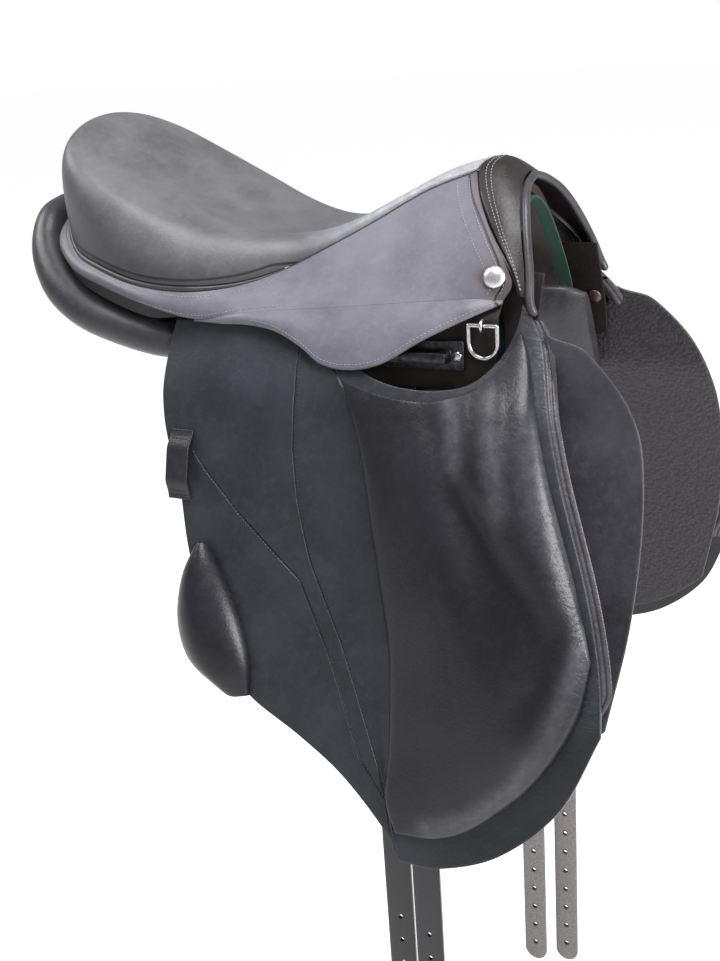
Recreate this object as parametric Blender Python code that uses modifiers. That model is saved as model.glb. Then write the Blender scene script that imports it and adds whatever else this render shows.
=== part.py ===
"""Jumping saddle with long girth straps, built as separate pieces.

Sizes are written in millimetres and turned to metres when a mesh is made.
X points to the pommel, Y to the left side and Z up. The origin lies on the
middle plane, below the waist of the seat, where the horse's back would be.
Side pieces are drawn on the right side and mirrored for the left one.
"""

import math

import bmesh
import bpy
from mathutils import Vector

# Units
MM = 0.001

# Overall sizes of the saddle, and the sizes at which its curves are drawn
LENGTH = 600.0
WIDTH = 480.0
HEIGHT = 575.0
DRAWN_LENGTH = 600.0
DRAWN_WIDTH = 480.0
DRAWN_HEIGHT = 575.0

# Layers beside the tree that keep their spacing when the width changes, as drawn distances
STACK_INSIDE = 101.0
STACK_OUTSIDE = 145.0
STACK_CORNER = 24.0

# Leather, foam and plate thicknesses
COVER_THICKNESS = 2.0
SKIRT_THICKNESS = 2.6
FLAP_THICKNESS = 4.4
SWEAT_FLAP_THICKNESS = 2.8
LINING_THICKNESS = 1.6
STRAP_THICKNESS = 3.6
KEEPER_THICKNESS = 2.2
WEB_THICKNESS = 1.8
WEB_TOP = 40.0
TREE_THICKNESS = 8.0
TREE_DEPTH = 15.0
TREE_RIM_DEPTH = 27.0
TREE_INSET = 26.0
TREE_EDGE_INSET = 13.0
PLATE_THICKNESS = 2.2

# Clearances
LAYER_GAP = 0.5
FOAM_GAP = 1.6
PAD_GAP = 1.7
SEAM_GAP = 0.7
CREASE_TRIM = 0.3
SKIRT_HINGE_OUT = 2.0
WELT_RADIUS = 2.2
WELT_SEAT = 4.0
BEAD_RADIUS = 3.4

# Girth straps
STRAP_WIDTH = 26.0
STRAP_BOTTOM = -800.0
STRAP_TOP = 16.0
STRAP_BEND = 176.0
STRAP_STRAIGHT = 316.0
STRAP_ROWS = 22
FRONT_STRAP_X = 135.0
REAR_STRAP_X = 101.0
HOLE_PITCH = 25.4
HOLE_DIAMETER = 5.0
HOLE_COUNT = 12
FIRST_HOLE = 24.0

# Metal fittings
NAIL_DIAMETER = 18.0
NAIL_HEIGHT = 4.5
NAIL_COLLAR = 0.5
RING_WIRE = 3.6
RING_WIDTH = 24.0
RING_HEIGHT = 26.0
BAR_LENGTH = 74.0
BAR_HEIGHT = 9.0
BAR_DEPTH = 4.5
BAR_STAND_OFF = 12.0
BAR_LEG = 8.0
BAR_MOUTH = 14.0
BAR_PLATE_MARGIN = 11.0
BAR_PLATE_LENGTH = BAR_LENGTH + BAR_PLATE_MARGIN * 2
BAR_PLATE_HEIGHT = 24.0
BAR_PLATE_THICKNESS = 2.4
RIVET_DIAMETER = 8.0
RIVET_HEIGHT = 1.8
RIVET_COLLAR = 0.2
RIVET_INSET = 5.5
CATCH_THICKNESS = 4.0
CATCH_SETBACK = 5.0
STAPLE_WIRE = 2.8
STAPLE_RADIUS = 4.2
BUTTON_DIAMETER = 13.0
BUTTON_HEIGHT = 3.0
BUTTON_COLLAR = 0.2

# Middle line, rim and welt of the seat, from the pommel seam back to the cantle
SEAT_RIDGE = [
    (146, 0, 153), (113, 0, 144), (78, 0, 125), (40, 0, 105), (5, 0, 92), (-30, 0, 88),
    (-70, 0, 94), (-110, 0, 110), (-145, 0, 128), (-168, 0, 142), (-185, 0, 156), (-196, 0, 166),
]
SEAT_RIM = [
    (143, 12, 151), (108, 19, 141), (70, 28, 123), (32, 38, 105), (-2, 53, 96), (-40, 72, 96),
    (-85, 91, 105), (-135, 105, 124), (-187, 104, 150), (-224, 86, 174), (-240, 48, 190), (-244, 0, 196),
]
WELT_LINE = [
    (140, 22, 143), (100, 33, 129), (55, 44, 105), (18, 59, 86), (-18, 78, 69), (-52, 100, 60),
    (-92, 120, 59), (-137, 124, 63), (-185, 113, 73), (-225, 94, 84), (-254, 60, 106), (-266, 0, 122),
]

# Crease on which the skirt folds up, which is also the line on which the flap hangs
CREASE_FRONT = (187, 90, 54)
CREASE_REAR = (-84, 121, 34)

# Lower edge of the sewn skirt: along the crease, then round the cantle
SKIRT_TOP_FOOT = [
    (187, 90, 54), (150, 94.3, 51.3), (100, 100, 47.6), (55, 105.1, 44.2), (10, 110.2, 40.9), (-36, 115.5, 37.5),
    (-84, 123, 35), (-130, 129, 47), (-181, 117, 58), (-226, 101, 70), (-260, 71, 93), (-274, 0, 111),
]
POMMEL_SEAM = [(140, 22, 143), (151, 42, 125), (171, 65, 99), (186, 79, 80), (193, 86, 66), (187, 90, 54)]
ARCH_BEAD = [(181, 0, 138), (183, 22, 132), (189, 42, 120), (196, 60, 100), (204, 77, 72), (208, 88, 52)]

# Free edge of the skirt below the crease
SKIRT_EDGE = [
    (180, 95.5, 49), (160, 107, 40), (130, 121, 26), (98, 131, 8), (70, 135, 2), (44, 134, 5),
    (24, 130, 17), (-2, 125.5, 28), (-30, 121, 33),
]
SKIRT_BULGE = 5.0

# Flap outline as x and z, its rear edge, foot, front edge and top edge
FLAP_REAR = [
    (-107, 31), (-111, 8), (-109, -32), (-103, -62), (-88, -100), (-76, -150), (-60, -195),
    (-35, -238), (-4, -268), (46, -292), (88, -316), (128, -350), (145, -373),
]
FLAP_FOOT = [(145, -373), (180, -371), (229, -350), (274, -306), (301, -246)]
FLAP_FRONT = [(201, 50), (219, 25), (240, -30), (262, -90), (282, -146), (296, -200), (301, -246)]
FLAP_TOP = [
    (-107, 31), (-60, 34.5), (-20, 33.5), (12, 29), (42, 19), (66, 4), (90, -10), (116, -18), (145, -19),
    (170, -12), (189, 6), (198, 30), (201, 50),
]

# Knee block on the flap
KNEE_REAR = [
    (66, -8), (82, -40), (93, -75), (101, -110), (112, -155), (125, -209), (131, -280), (131, -325), (142, -350),
]
KNEE_FOOT = [(142, -350), (178, -346), (211, -329), (254, -288), (282, -238), (290, -192)]
KNEE_FRONT = [(205, 28), (219, 0), (236, -42), (257, -96), (276, -147), (290, -192)]
KNEE_TOP = [(66, -8), (90, -22), (116, -29), (145, -30), (172, -22), (192, -3), (205, 28)]
KNEE_DEPTH = 25.0
KNEE_EDGE = 3.0

# Thigh block on the flap's rear edge
THIGH_REAR = [(-64, -148), (-76, -177), (-78, -214), (-65, -245), (-38, -262)]
THIGH_FOOT = [(-38, -262), (-20, -269), (-4, -267)]
THIGH_FRONT = [(-55, -147), (-38, -169), (-18, -203), (-6, -237), (-4, -267)]
THIGH_DEPTH = 24.0
THIGH_EDGE = 3.0

# Keeper loop
KEEPER_X = -85.0
KEEPER_TOP = -56.0
KEEPER_FOOT = -114.0
KEEPER_WIDTH = 22.0
KEEPER_LIFT = 6.5

# Rolled edge behind the flap's front edge
EDGING_WIDTH = 15.0
EDGING_DEPTH = 5.5
EDGING_START = 0.16
EDGING_PROUD = 7.0

# Sweat flap outline
SWEAT_REAR = [(-40, 4), (-30, -60), (0, -140), (45, -225), (105, -300)]
SWEAT_FOOT = [(105, -300), (160, -318), (215, -315), (255, -298), (288, -272)]
SWEAT_FRONT = [(226, 36), (258, 14), (288, -20), (304, -61), (309, -120), (304, -190), (288, -272)]
SWEAT_TOP = [(-40, 4), (20, -2), (80, -14), (140, -22), (190, -10), (214, 16), (226, 36)]

# Panel stations: x, centre y, centre z, half width, half thickness, tilt in degrees
PANEL_STATIONS = [
    (-246, 50, 60, 10, 14, 0), (-240, 50, 59, 16, 26, 0), (-222, 53, 50, 20, 32, 4),
    (-190, 55, 34, 25, 30, 8), (-150, 58, 22, 29, 25, 12), (-100, 61, 17, 31, 23, 17),
    (-62, 65, 15, 32, 22, 22), (-30, 69, 13, 38, 21, 27), (0, 70, 10, 43, 20, 31),
    (50, 65, 4, 42, 15, 42), (100, 62, -2, 48, 13, 50), (150, 68, -8, 52, 12, 58),
    (185, 73, -10, 51, 10, 62), (204, 76, -11, 44, 7, 64),
]

# Round rear gusset of the panel: x, y, z and radius
GUSSET_PATH = [
    (-78, 104, 8, 8), (-127, 109.5, 10, 15), (-200, 101, 25, 18), (-240, 92, 42, 19.5),
    (-265, 80, 61, 19), (-283, 65, 83, 16.5), (-292, 44, 104, 14.5), (-294, 18, 112, 13),
]

# Lower edge of the facing between the skirt and the gusset
FACING_FOOT = [
    (-102, 118, 34), (-134, 120, 33), (-185, 112, 45), (-228, 97, 60), (-253.5, 78.5, 86), (-267, 35, 101),
    (-269.5, 0, 104),
]
FACING_FRONT = 0.4
FACING_THICKNESS = 3.0
FACING_GAP = 2.9

# Heights, from the ground up, and widths of the hanging layers
SWEAT_PROFILE = [
    (60, 84), (30, 89), (10, 94.5), (-20, 99.5), (-45, 104.5), (-80, 118.5), (-150, 140), (-220, 151),
    (-330, 158),
]
REAR_STRAP_PROFILE = [
    (30, 98), (16, 99.3), (0, 101.6), (-16, 104.6), (-45, 111), (-80, 127.5), (-150, 147),
    (-250, 163), (-330, 165), (-1200, 165),
]
FRONT_STRAP_PROFILE = [
    (30, 98), (16, 99.3), (0, 101.4), (-18, 104.6), (-32, 112), (-45, 119), (-80, 137), (-150, 159),
    (-230, 173.5), (-300, 177), (-1200, 177),
]
SWEAT_REAR_EXTRA = 15.0

# Tree head, as y and z from the crown down to the point
HEAD_LINE = [(0, 133), (20, 127), (40, 111), (58.5, 88), (75.5, 62), (89.5, 34), (95, 10)]
HEAD_BESIDE_RAIL = 58.5
HEAD_REAR_X = 150.0
HEAD_FRONT_X = 174.0

# Tree rail under the sewn skirt, as shares of the skirt
RAIL_REAR = 0.5
RAIL_FRONT = 0.951
RAIL_TOP = 0.22
RAIL_FOOT = 0.95

# Rise of the sewn skirt between its two edges
SKIRT_CROWN = 4.0

# Edges of the pommel cover, from its middle down to its foot, at the seam and at the bead
POMMEL_REAR_EDGE = [
    (148, 0, 153), (144, 14, 150.5), (143.2, 26, 143), (153, 44, 126), (172.2, 66, 101), (188, 79, 81),
    (195, 84, 69),
]
POMMEL_FRONT_EDGE = [
    (177, 0, 141.2), (178.4, 14, 138.8), (180.8, 28, 132.3), (185.3, 44, 120.3), (191.8, 61.5, 101.3),
    (198.8, 75.5, 78.3), (201.2, 81, 68.3),
]
POMMEL_RISE = 5.0

# Places of the fittings on the right side
NAIL_SHARES = (0.973, 0.83)
NAIL_LIFT = 1.0
BUTTON_PLACE = (203, 20)
BUTTON_LEAN = (0.93, 0.36)
RING_PLACE = (176, 24)
POCKET_LINE = [(186, 212), (34, 83), (10, 92), (-15, 96)]
BAR_PLATE_FRONT_X = 160.0
BAR_MIDDLE_Z = 12.0
LINING_MARGIN = 2.0
LINING_FRONT_X = 186.0
LINING_TOP = 41.0
LINING_FOOT = -16.0
LINING_Y_AT_TOP = 101.0
LINING_SLOPE = 0.14

# Mesh counts
SEAT_STEPS_ALONG = 20
SEAT_STEPS_ACROSS = 7
SKIRT_COLUMNS = 26
SKIRT_ROWS = 3
TUBE_RESOLUTION = 1

# Colours as linear values
COLOURS = {
    "leather": ((0.020, 0.020, 0.022), 0.38, 0.0),
    "soft leather": ((0.030, 0.030, 0.033), 0.45, 0.0),
    "lining": ((0.026, 0.017, 0.012), 0.65, 0.0),
    "felt": ((0.045, 0.110, 0.060), 0.95, 0.0),
    "strap": ((0.150, 0.135, 0.130), 0.55, 0.0),
    "wood": ((0.420, 0.270, 0.140), 0.60, 0.0),
    "foam": ((0.620, 0.600, 0.520), 0.90, 0.0),
    "web": ((0.360, 0.330, 0.270), 0.85, 0.0),
    "steel": ((0.560, 0.560, 0.580), 0.28, 1.0),
    "nickel": ((0.700, 0.700, 0.720), 0.18, 1.0),
    "brass": ((0.240, 0.140, 0.080), 0.40, 1.0),
}


def clear_scene():
    """Remove what a new file holds."""
    for item in list(bpy.data.objects):
        bpy.data.objects.remove(item, do_unlink=True)


def new_collection(name):
    """Make a collection in the scene."""
    collection = bpy.data.collections.new(name)
    bpy.context.scene.collection.children.link(collection)
    return collection


clear_scene()
PARTS = new_collection("jumping_saddle")
CUTTERS = new_collection("cutters")


def material(name):
    """Return the named material, made on its first use."""
    found = bpy.data.materials.get(name)
    if found:
        return found
    made = bpy.data.materials.new(name)
    made.use_nodes = True
    colour, roughness, metallic = COLOURS[name]
    shader = made.node_tree.nodes["Principled BSDF"]
    shader.inputs["Base Color"].default_value = (*colour, 1.0)
    shader.inputs["Roughness"].default_value = roughness
    shader.inputs["Metallic"].default_value = metallic
    made.diffuse_color = (*colour, 1.0)
    return made


def fit(point):
    """Scale a drawn point to the saddle's overall sizes."""
    x, y, z = point
    return Vector((fit_x(x), fit_y(y), fit_z(z)))


def fit_x(x):
    """Scale a drawn distance along the saddle."""
    return x * LENGTH / DRAWN_LENGTH


def fit_y(y):
    """Scale a drawn distance across the saddle.

    The layers beside the tree, where the stirrup bar hangs, keep their spacing. The tree inside
    them and the flaps outside them take up the change.
    """
    scale = WIDTH / DRAWN_WIDTH
    out = abs(y)
    if out <= STACK_INSIDE:
        return y * scale
    shift = STACK_INSIDE * (1.0 - scale)
    past = out - STACK_OUTSIDE
    if abs(past) < STACK_CORNER:
        past = (past + STACK_CORNER) ** 2 / (4.0 * STACK_CORNER)
    half = DRAWN_WIDTH / 2
    loss = (half * (1.0 - scale) - shift) / (half - STACK_OUTSIDE)
    return math.copysign(out - shift - loss * max(0.0, past), y)


def fit_z(z):
    """Scale a drawn height."""
    return z * HEIGHT / DRAWN_HEIGHT


def smooth(value):
    """Ease from 0 to 1."""
    value = min(1.0, max(0.0, value))
    return value * value * (3.0 - 2.0 * value)


def mix(start, end, share):
    """Mix two numbers or vectors."""
    return start * (1.0 - share) + end * share


def table(points, where):
    """Read a smooth curve through (key, value) pairs in falling key order."""
    if where >= points[0][0]:
        return float(points[0][1])
    for index in range(len(points) - 1):
        high, value_high = points[index]
        low, value_low = points[index + 1]
        if where >= low:
            share = (high - where) / (high - low)
            before = points[max(0, index - 1)]
            after = points[min(len(points) - 1, index + 2)]
            slope_a = (value_low - before[1]) / (before[0] - low) * (high - low)
            slope_b = (after[1] - value_high) / (high - after[0]) * (high - low)
            return hermite(value_high, value_low, slope_a, slope_b, share)
    return float(points[-1][1])


def hermite(start, end, leave, arrive, share):
    """Cubic from start to end with the given end slopes."""
    square = share * share
    cube = square * share
    first = start * (2 * cube - 3 * square + 1) + leave * (cube - 2 * square + share)
    return first + end * (3 * square - 2 * cube) + arrive * (cube - square)


def spline(points, share, last=None):
    """Point on a smooth curve that passes evenly through the given points."""
    count = len(points) - 1
    place = min(1.0, max(0.0, share)) * count
    index = min(count - 1, int(place))
    local = place - index
    here = points[index]
    after = points[index + 1]
    before = points[index - 1] if index > 0 else here * 2.0 - after
    if index + 2 <= count:
        beyond = points[index + 2]
    else:
        beyond = last if last is not None else after * 2.0 - here
    return hermite(here, after, (after - before) * 0.5, (beyond - here) * 0.5, local)


def even_spline(points, share):
    """Like spline, but with the share measured along the chords."""
    lengths = [0.0]
    for index in range(len(points) - 1):
        lengths.append(lengths[-1] + (points[index + 1] - points[index]).length)
    target = min(1.0, max(0.0, share)) * lengths[-1]
    for index in range(len(points) - 1):
        if target <= lengths[index + 1]:
            local = (target - lengths[index]) / (lengths[index + 1] - lengths[index])
            return spline(points, (index + local) / (len(points) - 1))
    return points[-1].copy()


def vectors(points):
    """Turn drawn right-side points (y given as a distance) into fitted vectors."""
    return [fit((x, -y, z)) for x, y, z in points]


def flat_vectors(points):
    """Turn drawn x and z pairs into fitted vectors in the XZ plane."""
    return [fit((x, 0, z)) for x, z in points]


def coons(top, foot, rear, front, across, down):
    """Point of a patch between four edges; across runs rear to front, down runs top to foot."""
    along = mix(even_spline(top, across), even_spline(foot, across), down)
    sides = mix(even_spline(rear, down), even_spline(front, down), across)
    upper = mix(top[0], top[-1], across)
    lower = mix(foot[0], foot[-1], across)
    return along + sides - mix(upper, lower, down)


class Surface:
    """A smooth surface over the unit square, with a normal and parallel layers."""

    STEP = 0.004
    MARGIN = 0.02

    def __init__(self, point, side=-1):
        self.draw = point
        self.side = side

    def point(self, across, down):
        """Point on the surface."""
        found = self.draw(across, down)
        return Vector((found.x, -found.y * self.side, found.z))

    def normal(self, across, down):
        """Unit normal of the surface, pointing away from the horse.

        It is read a little inside the edges, because a corner on the middle plane has none.
        """
        u = min(1.0 - self.MARGIN, max(self.MARGIN, across))
        v = min(1.0 - self.MARGIN, max(self.MARGIN, down))
        along = self.draw(u + self.STEP, v) - self.draw(u - self.STEP, v)
        fall = self.draw(u, v + self.STEP) - self.draw(u, v - self.STEP)
        found = fall.cross(along)
        if abs(self.draw(across, down).y) < 0.000001:
            found.y = 0.0
        found.normalize()
        return Vector((found.x, -found.y * self.side, found.z))

    def layer(self, across, down, depth):
        """Point at a depth below the surface."""
        return self.point(across, down) - self.normal(across, down) * depth


def add_object(name, mesh, colour):
    """Put a mesh in the parts collection with its material."""
    made = bpy.data.objects.new(name, mesh)
    PARTS.objects.link(made)
    mesh.materials.clear()
    mesh.materials.append(material(colour))
    return made


def finish_mesh(work, name, colour, smooth_angle=50.0):
    """Close a bmesh, turn its faces out and make an object of it."""
    bmesh.ops.remove_doubles(work, verts=work.verts, dist=0.00002)
    bmesh.ops.recalc_face_normals(work, faces=work.faces)
    mesh = bpy.data.meshes.new(name)
    work.to_mesh(mesh)
    work.free()
    mesh.shade_smooth()
    mesh.set_sharp_from_angle(angle=math.radians(smooth_angle))
    return add_object(name, mesh, colour)


def unit_grid(columns, rows):
    """Grid primitive over the unit square, with the square place of each vertex."""
    work = bmesh.new()
    bmesh.ops.create_grid(work, x_segments=columns, y_segments=rows, size=0.5)
    for vertex in work.verts:
        vertex.co.x += 0.5
        vertex.co.y += 0.5
    return work


def block(name, upper, lower, columns, rows, colour, keep=None, seam_row=False):
    """Closed piece between two surfaces over one grid.

    upper and lower give the place of each grid point. keep leaves cells out, which
    makes openings. seam_row says that the last row of the grid closes on itself.
    """
    work = unit_grid(columns, rows)
    if keep:
        centres = {face: face.calc_center_median() for face in work.faces}
        dropped = [face for face, centre in centres.items() if not keep(centre.x, centre.y)]
        bmesh.ops.delete(work, geom=dropped, context="FACES")
    places = {vertex: (vertex.co.x, vertex.co.y) for vertex in work.verts}
    result = bmesh.ops.extrude_face_region(work, geom=work.faces[:])
    raised = [item for item in result["geom"] if isinstance(item, bmesh.types.BMVert)]
    raised_places = {vertex: (vertex.co.x, vertex.co.y) for vertex in raised}
    if seam_row:
        walls = [face for face in work.faces if all(vertex.co.y > 0.9999 for vertex in face.verts)]
        bmesh.ops.delete(work, geom=walls, context="FACES_ONLY")
    for vertex, (across, down) in places.items():
        vertex.co = lower(across, down) * MM
    for vertex, (across, down) in raised_places.items():
        vertex.co = upper(across, down) * MM
    return finish_mesh(work, name, colour)


def sheet(name, surface, thickness, columns, rows, colour, keep=None):
    """Leather of even thickness centred on a surface."""

    def outer(across, down):
        return surface.layer(across, down, -thickness / 2)

    def inner(across, down):
        return surface.layer(across, down, thickness / 2)

    return block(name, outer, inner, columns, rows, colour, keep)


def tube(name, points, radius, colour, cyclic=False):
    """Round cord along a list of points."""
    curve = bpy.data.curves.new(name, "CURVE")
    curve.dimensions = "3D"
    curve.bevel_depth = radius * MM
    curve.bevel_resolution = TUBE_RESOLUTION
    curve.use_fill_caps = True
    line = curve.splines.new("POLY")
    line.points.add(len(points) - 1)
    for knot, point in zip(line.points, points):
        knot.co = (*(point * MM), 1.0)
    line.use_cyclic_u = cyclic
    made = bpy.data.objects.new(name, curve)
    PARTS.objects.link(made)
    curve.materials.append(material(colour))
    return made


def tube_mesh(name, points, radius, colour, cyclic=False):
    """Round cord turned into a closed mesh."""
    curve_object = tube(name + "_line", points, radius, colour, cyclic)
    bpy.context.view_layer.update()
    evaluated = curve_object.evaluated_get(bpy.context.evaluated_depsgraph_get())
    mesh = bpy.data.meshes.new_from_object(evaluated)
    mesh.name = name
    work = bmesh.new()
    work.from_mesh(mesh)
    bmesh.ops.remove_doubles(work, verts=work.verts, dist=0.00002)
    bmesh.ops.recalc_face_normals(work, faces=work.faces)
    work.to_mesh(mesh)
    work.free()
    bpy.data.objects.remove(curve_object, do_unlink=True)
    return add_object(name, mesh, colour)


def turned(name, profile, place, axis, colour, steps=20):
    """Turned piece: a profile of radius and height, top first, stood on a place along an axis."""
    mesh = bpy.data.meshes.new(name)
    points = [(radius * MM, 0.0, height * MM) for radius, height in profile]
    edges = [(index, index + 1) for index in range(len(points) - 1)]
    mesh.from_pydata(points, edges, [])
    made = add_object(name, mesh, colour)
    screw = made.modifiers.new("turn", "SCREW")
    screw.axis = "Z"
    screw.steps = steps
    screw.render_steps = steps
    screw.use_merge_vertices = True
    screw.merge_threshold = 0.0001
    screw.use_smooth_shade = True
    made.location = place * MM
    made.rotation_mode = "QUATERNION"
    made.rotation_quaternion = axis.to_track_quat("Z", "Y")
    return made


def head_profile(diameter, height, shank):
    """Profile of a domed nail or rivet head, from its crown to its foot."""
    radius = diameter / 2
    dome = [(radius * math.sin(step * math.pi / 8), height * math.cos(step * math.pi / 8)) for step in range(4)]
    return dome + [(radius, height * 0.12), (radius * 0.96, 0.0), (radius * 0.96, -shank), (0.0, -shank)]


def move_origin(piece, place):
    """Move a piece's origin to a place while its mesh stays where it is."""
    shift = place * MM - piece.location
    for vertex in piece.data.vertices:
        vertex.co -= shift
    piece.location = place * MM


def side_name(side):
    """Name of a side: -1 is the right, 1 the left."""
    return "right" if side < 0 else "left"


# Surfaces of the seat and skirts


def seat_form(across, down, sunk):
    """Seat surface (sunk 0) or the tree's surface below it (sunk 1).

    across runs from the middle line to the welt, down from the pommel to the cantle.
    """
    ridge = spline(RIDGE, down)
    rim = spline(RIM, down, MIRRORED_RIM)
    edge = spline(WELT, down, MIRRORED_WELT) + Vector((0, 0, WELT_SEAT))
    inward = Vector((ridge.x - edge.x, -edge.y, 0.0))
    inward.normalize()
    ridge = ridge - Vector((0.0, 0.0, TREE_DEPTH * sunk))
    rim = rim + inward * (min(TREE_INSET, abs(rim.y) * 0.5 + 8.0 * down) * sunk)
    rim = rim - Vector((0.0, 0.0, mix(TREE_DEPTH, TREE_RIM_DEPTH, smooth(down * 2.0)) * sunk))
    edge = edge + inward * (TREE_EDGE_INSET * sunk)
    drop = max(6.0, rim.z - edge.z)
    total = edge - ridge
    split = 0.55
    if across <= split:
        leave = Vector((0.0, rim.y / split * 1.1, 0.0))
        return hermite(ridge, rim, leave * split, total * split, across / split)
    arrive = inward * 16.0 + Vector((0.0, 0.0, -drop * 1.2))
    rest = 1.0 - split
    return hermite(rim, edge, total * rest, arrive * 0.9, (across - split) / rest)


def seat_point(across, down):
    """Seat surface."""
    return seat_form(across, down, 0.0)


def tree_point(across, down):
    """Surface on which the foam lies."""
    return seat_form(across, down, 1.0)


RIDGE = vectors(SEAT_RIDGE)
RIM = vectors(SEAT_RIM)
WELT = vectors(WELT_LINE)
FOOT = vectors(SKIRT_TOP_FOOT)
MIRRORED_RIM = Vector((RIM[-2].x, -RIM[-2].y, RIM[-2].z))
MIRRORED_WELT = Vector((WELT[-2].x, -WELT[-2].y, WELT[-2].z))
MIRRORED_FOOT = Vector((FOOT[-2].x, -FOOT[-2].y, FOOT[-2].z))
SEAT = Surface(seat_point)
TREE = Surface(tree_point)


def full_width(surface, across, down, depth):
    """Layer of a half surface over its full width; across runs from -1 (right) to 1 (left)."""
    found = surface.layer(abs(across), down, depth)
    if across > 0:
        found.y = -found.y
    return found


def seat_shell(name, top, foot, reach, front, back, columns, rows, colour, hole=None):
    """Closed layer of the seat between two (surface, depth) pairs.

    reach is the layer's share of the way to the welt.
    """

    def at(level):
        surface, depth = level

        def place(across, down):
            return full_width(surface, (across * 2.0 - 1.0) * reach, mix(front, back, down), depth)

        return place

    whole = back >= 1.0
    return block(name, at(top), at(foot), columns, rows, colour, hole, whole)


def skirt_point(across, down):
    """Sewn skirt from the welt (down 0) to its foot (down 1); across runs rear to front."""
    back = 1.0 - across
    welt = spline(WELT, back, MIRRORED_WELT)
    foot = spline(FOOT, back, MIRRORED_FOOT)
    drop = foot - welt
    drop.normalize()
    welt = welt + drop * WELT_SEAT
    foot = foot - drop * CREASE_TRIM
    front = even_spline(SEAM, down)
    straight = mix(WELT[0], FOOT[0], down)
    share = 1.0 - smooth(back / 0.16)
    found = mix(welt, foot, down) + (front - straight) * share
    outward = mix(Vector((0.0, -1.0, 0.0)), Vector((-1.0, 0.0, 0.0)), smooth((back - 0.7) / 0.3))
    outward.normalize()
    return found + outward * SKIRT_CROWN * math.sin(math.pi * down)


SEAM = vectors(POMMEL_SEAM)
BEAD = vectors(ARCH_BEAD)
LOBE_EDGE = vectors(SKIRT_EDGE)
SKIRT = Surface(skirt_point)
CREASE_A = fit((CREASE_FRONT[0], -CREASE_FRONT[1], CREASE_FRONT[2]))
CREASE_B = fit((CREASE_REAR[0], -CREASE_REAR[1], CREASE_REAR[2]))


def crease_point(x):
    """Point of the crease at a distance along the saddle."""
    share = (x - CREASE_A.x) / (CREASE_B.x - CREASE_A.x)
    return mix(CREASE_A, CREASE_B, share)


def lobe_point(across, down):
    """Free part of the skirt; across runs rear to front, down from the crease to the edge."""
    edge = even_spline(list(reversed(LOBE_EDGE)), across)
    top = crease_point(mix(LOBE_EDGE[-1].x, LOBE_EDGE[0].x, across))
    fall = (edge - top)
    fall.normalize()
    start = top + fall * (SEAM_GAP + SKIRT_THICKNESS * 0.3)
    found = mix(start, edge, down)
    found.y -= SKIRT_BULGE * math.sin(math.pi * down) * math.sin(math.pi * across)
    return found


def flap_y(x, z):
    """Height of the flap's middle surface off the middle plane, as a negative y."""
    drawn_x = x * DRAWN_LENGTH / LENGTH
    drawn_z = z * DRAWN_HEIGHT / HEIGHT
    out = 128.0 + 0.285 * (27.0 - drawn_z)
    out -= 12.0 * smooth((drawn_z + 32.0) / 58.0)
    out -= 26.0 * smooth((drawn_x - 60.0) / 140.0) * smooth((drawn_z + 80.0) / 140.0)
    return -fit_y(out)


def on_flap(found, lift=0.0):
    """Put an outline point on the flap, or lift it square off the flap."""
    base = Vector((found.x, flap_y(found.x, found.z), found.z))
    if lift == 0.0:
        return base
    step = 2.0
    slope_x = (flap_y(base.x + step, base.z) - flap_y(base.x - step, base.z)) / (2 * step)
    slope_z = (flap_y(base.x, base.z + step) - flap_y(base.x, base.z - step)) / (2 * step)
    outward = Vector((slope_x, -1.0, slope_z))
    outward.normalize()
    return base + outward * lift


FLAP_EDGES = [flat_vectors(points) for points in (FLAP_TOP, FLAP_FOOT, FLAP_REAR, FLAP_FRONT)]
KNEE_EDGES = [flat_vectors(points) for points in (KNEE_TOP, KNEE_FOOT, KNEE_REAR, KNEE_FRONT)]
THIGH_TOP = [THIGH_REAR[0], THIGH_FRONT[0]]
THIGH_EDGES = [flat_vectors(points) for points in (THIGH_TOP, THIGH_FOOT, THIGH_REAR, THIGH_FRONT)]
SWEAT_EDGES = [flat_vectors(points) for points in (SWEAT_TOP, SWEAT_FOOT, SWEAT_REAR, SWEAT_FRONT)]


def flap_point(across, down):
    """Flap surface; across runs rear to front."""
    return on_flap(coons(*FLAP_EDGES, across, down))


def sweat_y(x, z):
    """Sweat flap's place as a negative y."""
    drawn_x = x * DRAWN_LENGTH / LENGTH
    drawn_z = z * DRAWN_HEIGHT / HEIGHT
    extra = SWEAT_REAR_EXTRA * smooth((70.0 - drawn_x) / 70.0) * smooth((drawn_z + 100.0) / 60.0)
    return -fit_y(table(SWEAT_PROFILE, drawn_z) + extra)


def sweat_point(across, down):
    """Sweat flap surface; across runs rear to front."""
    found = coons(*SWEAT_EDGES, across, down)
    return Vector((found.x, sweat_y(found.x, found.z), found.z))


# Building the pieces of the seat


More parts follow.
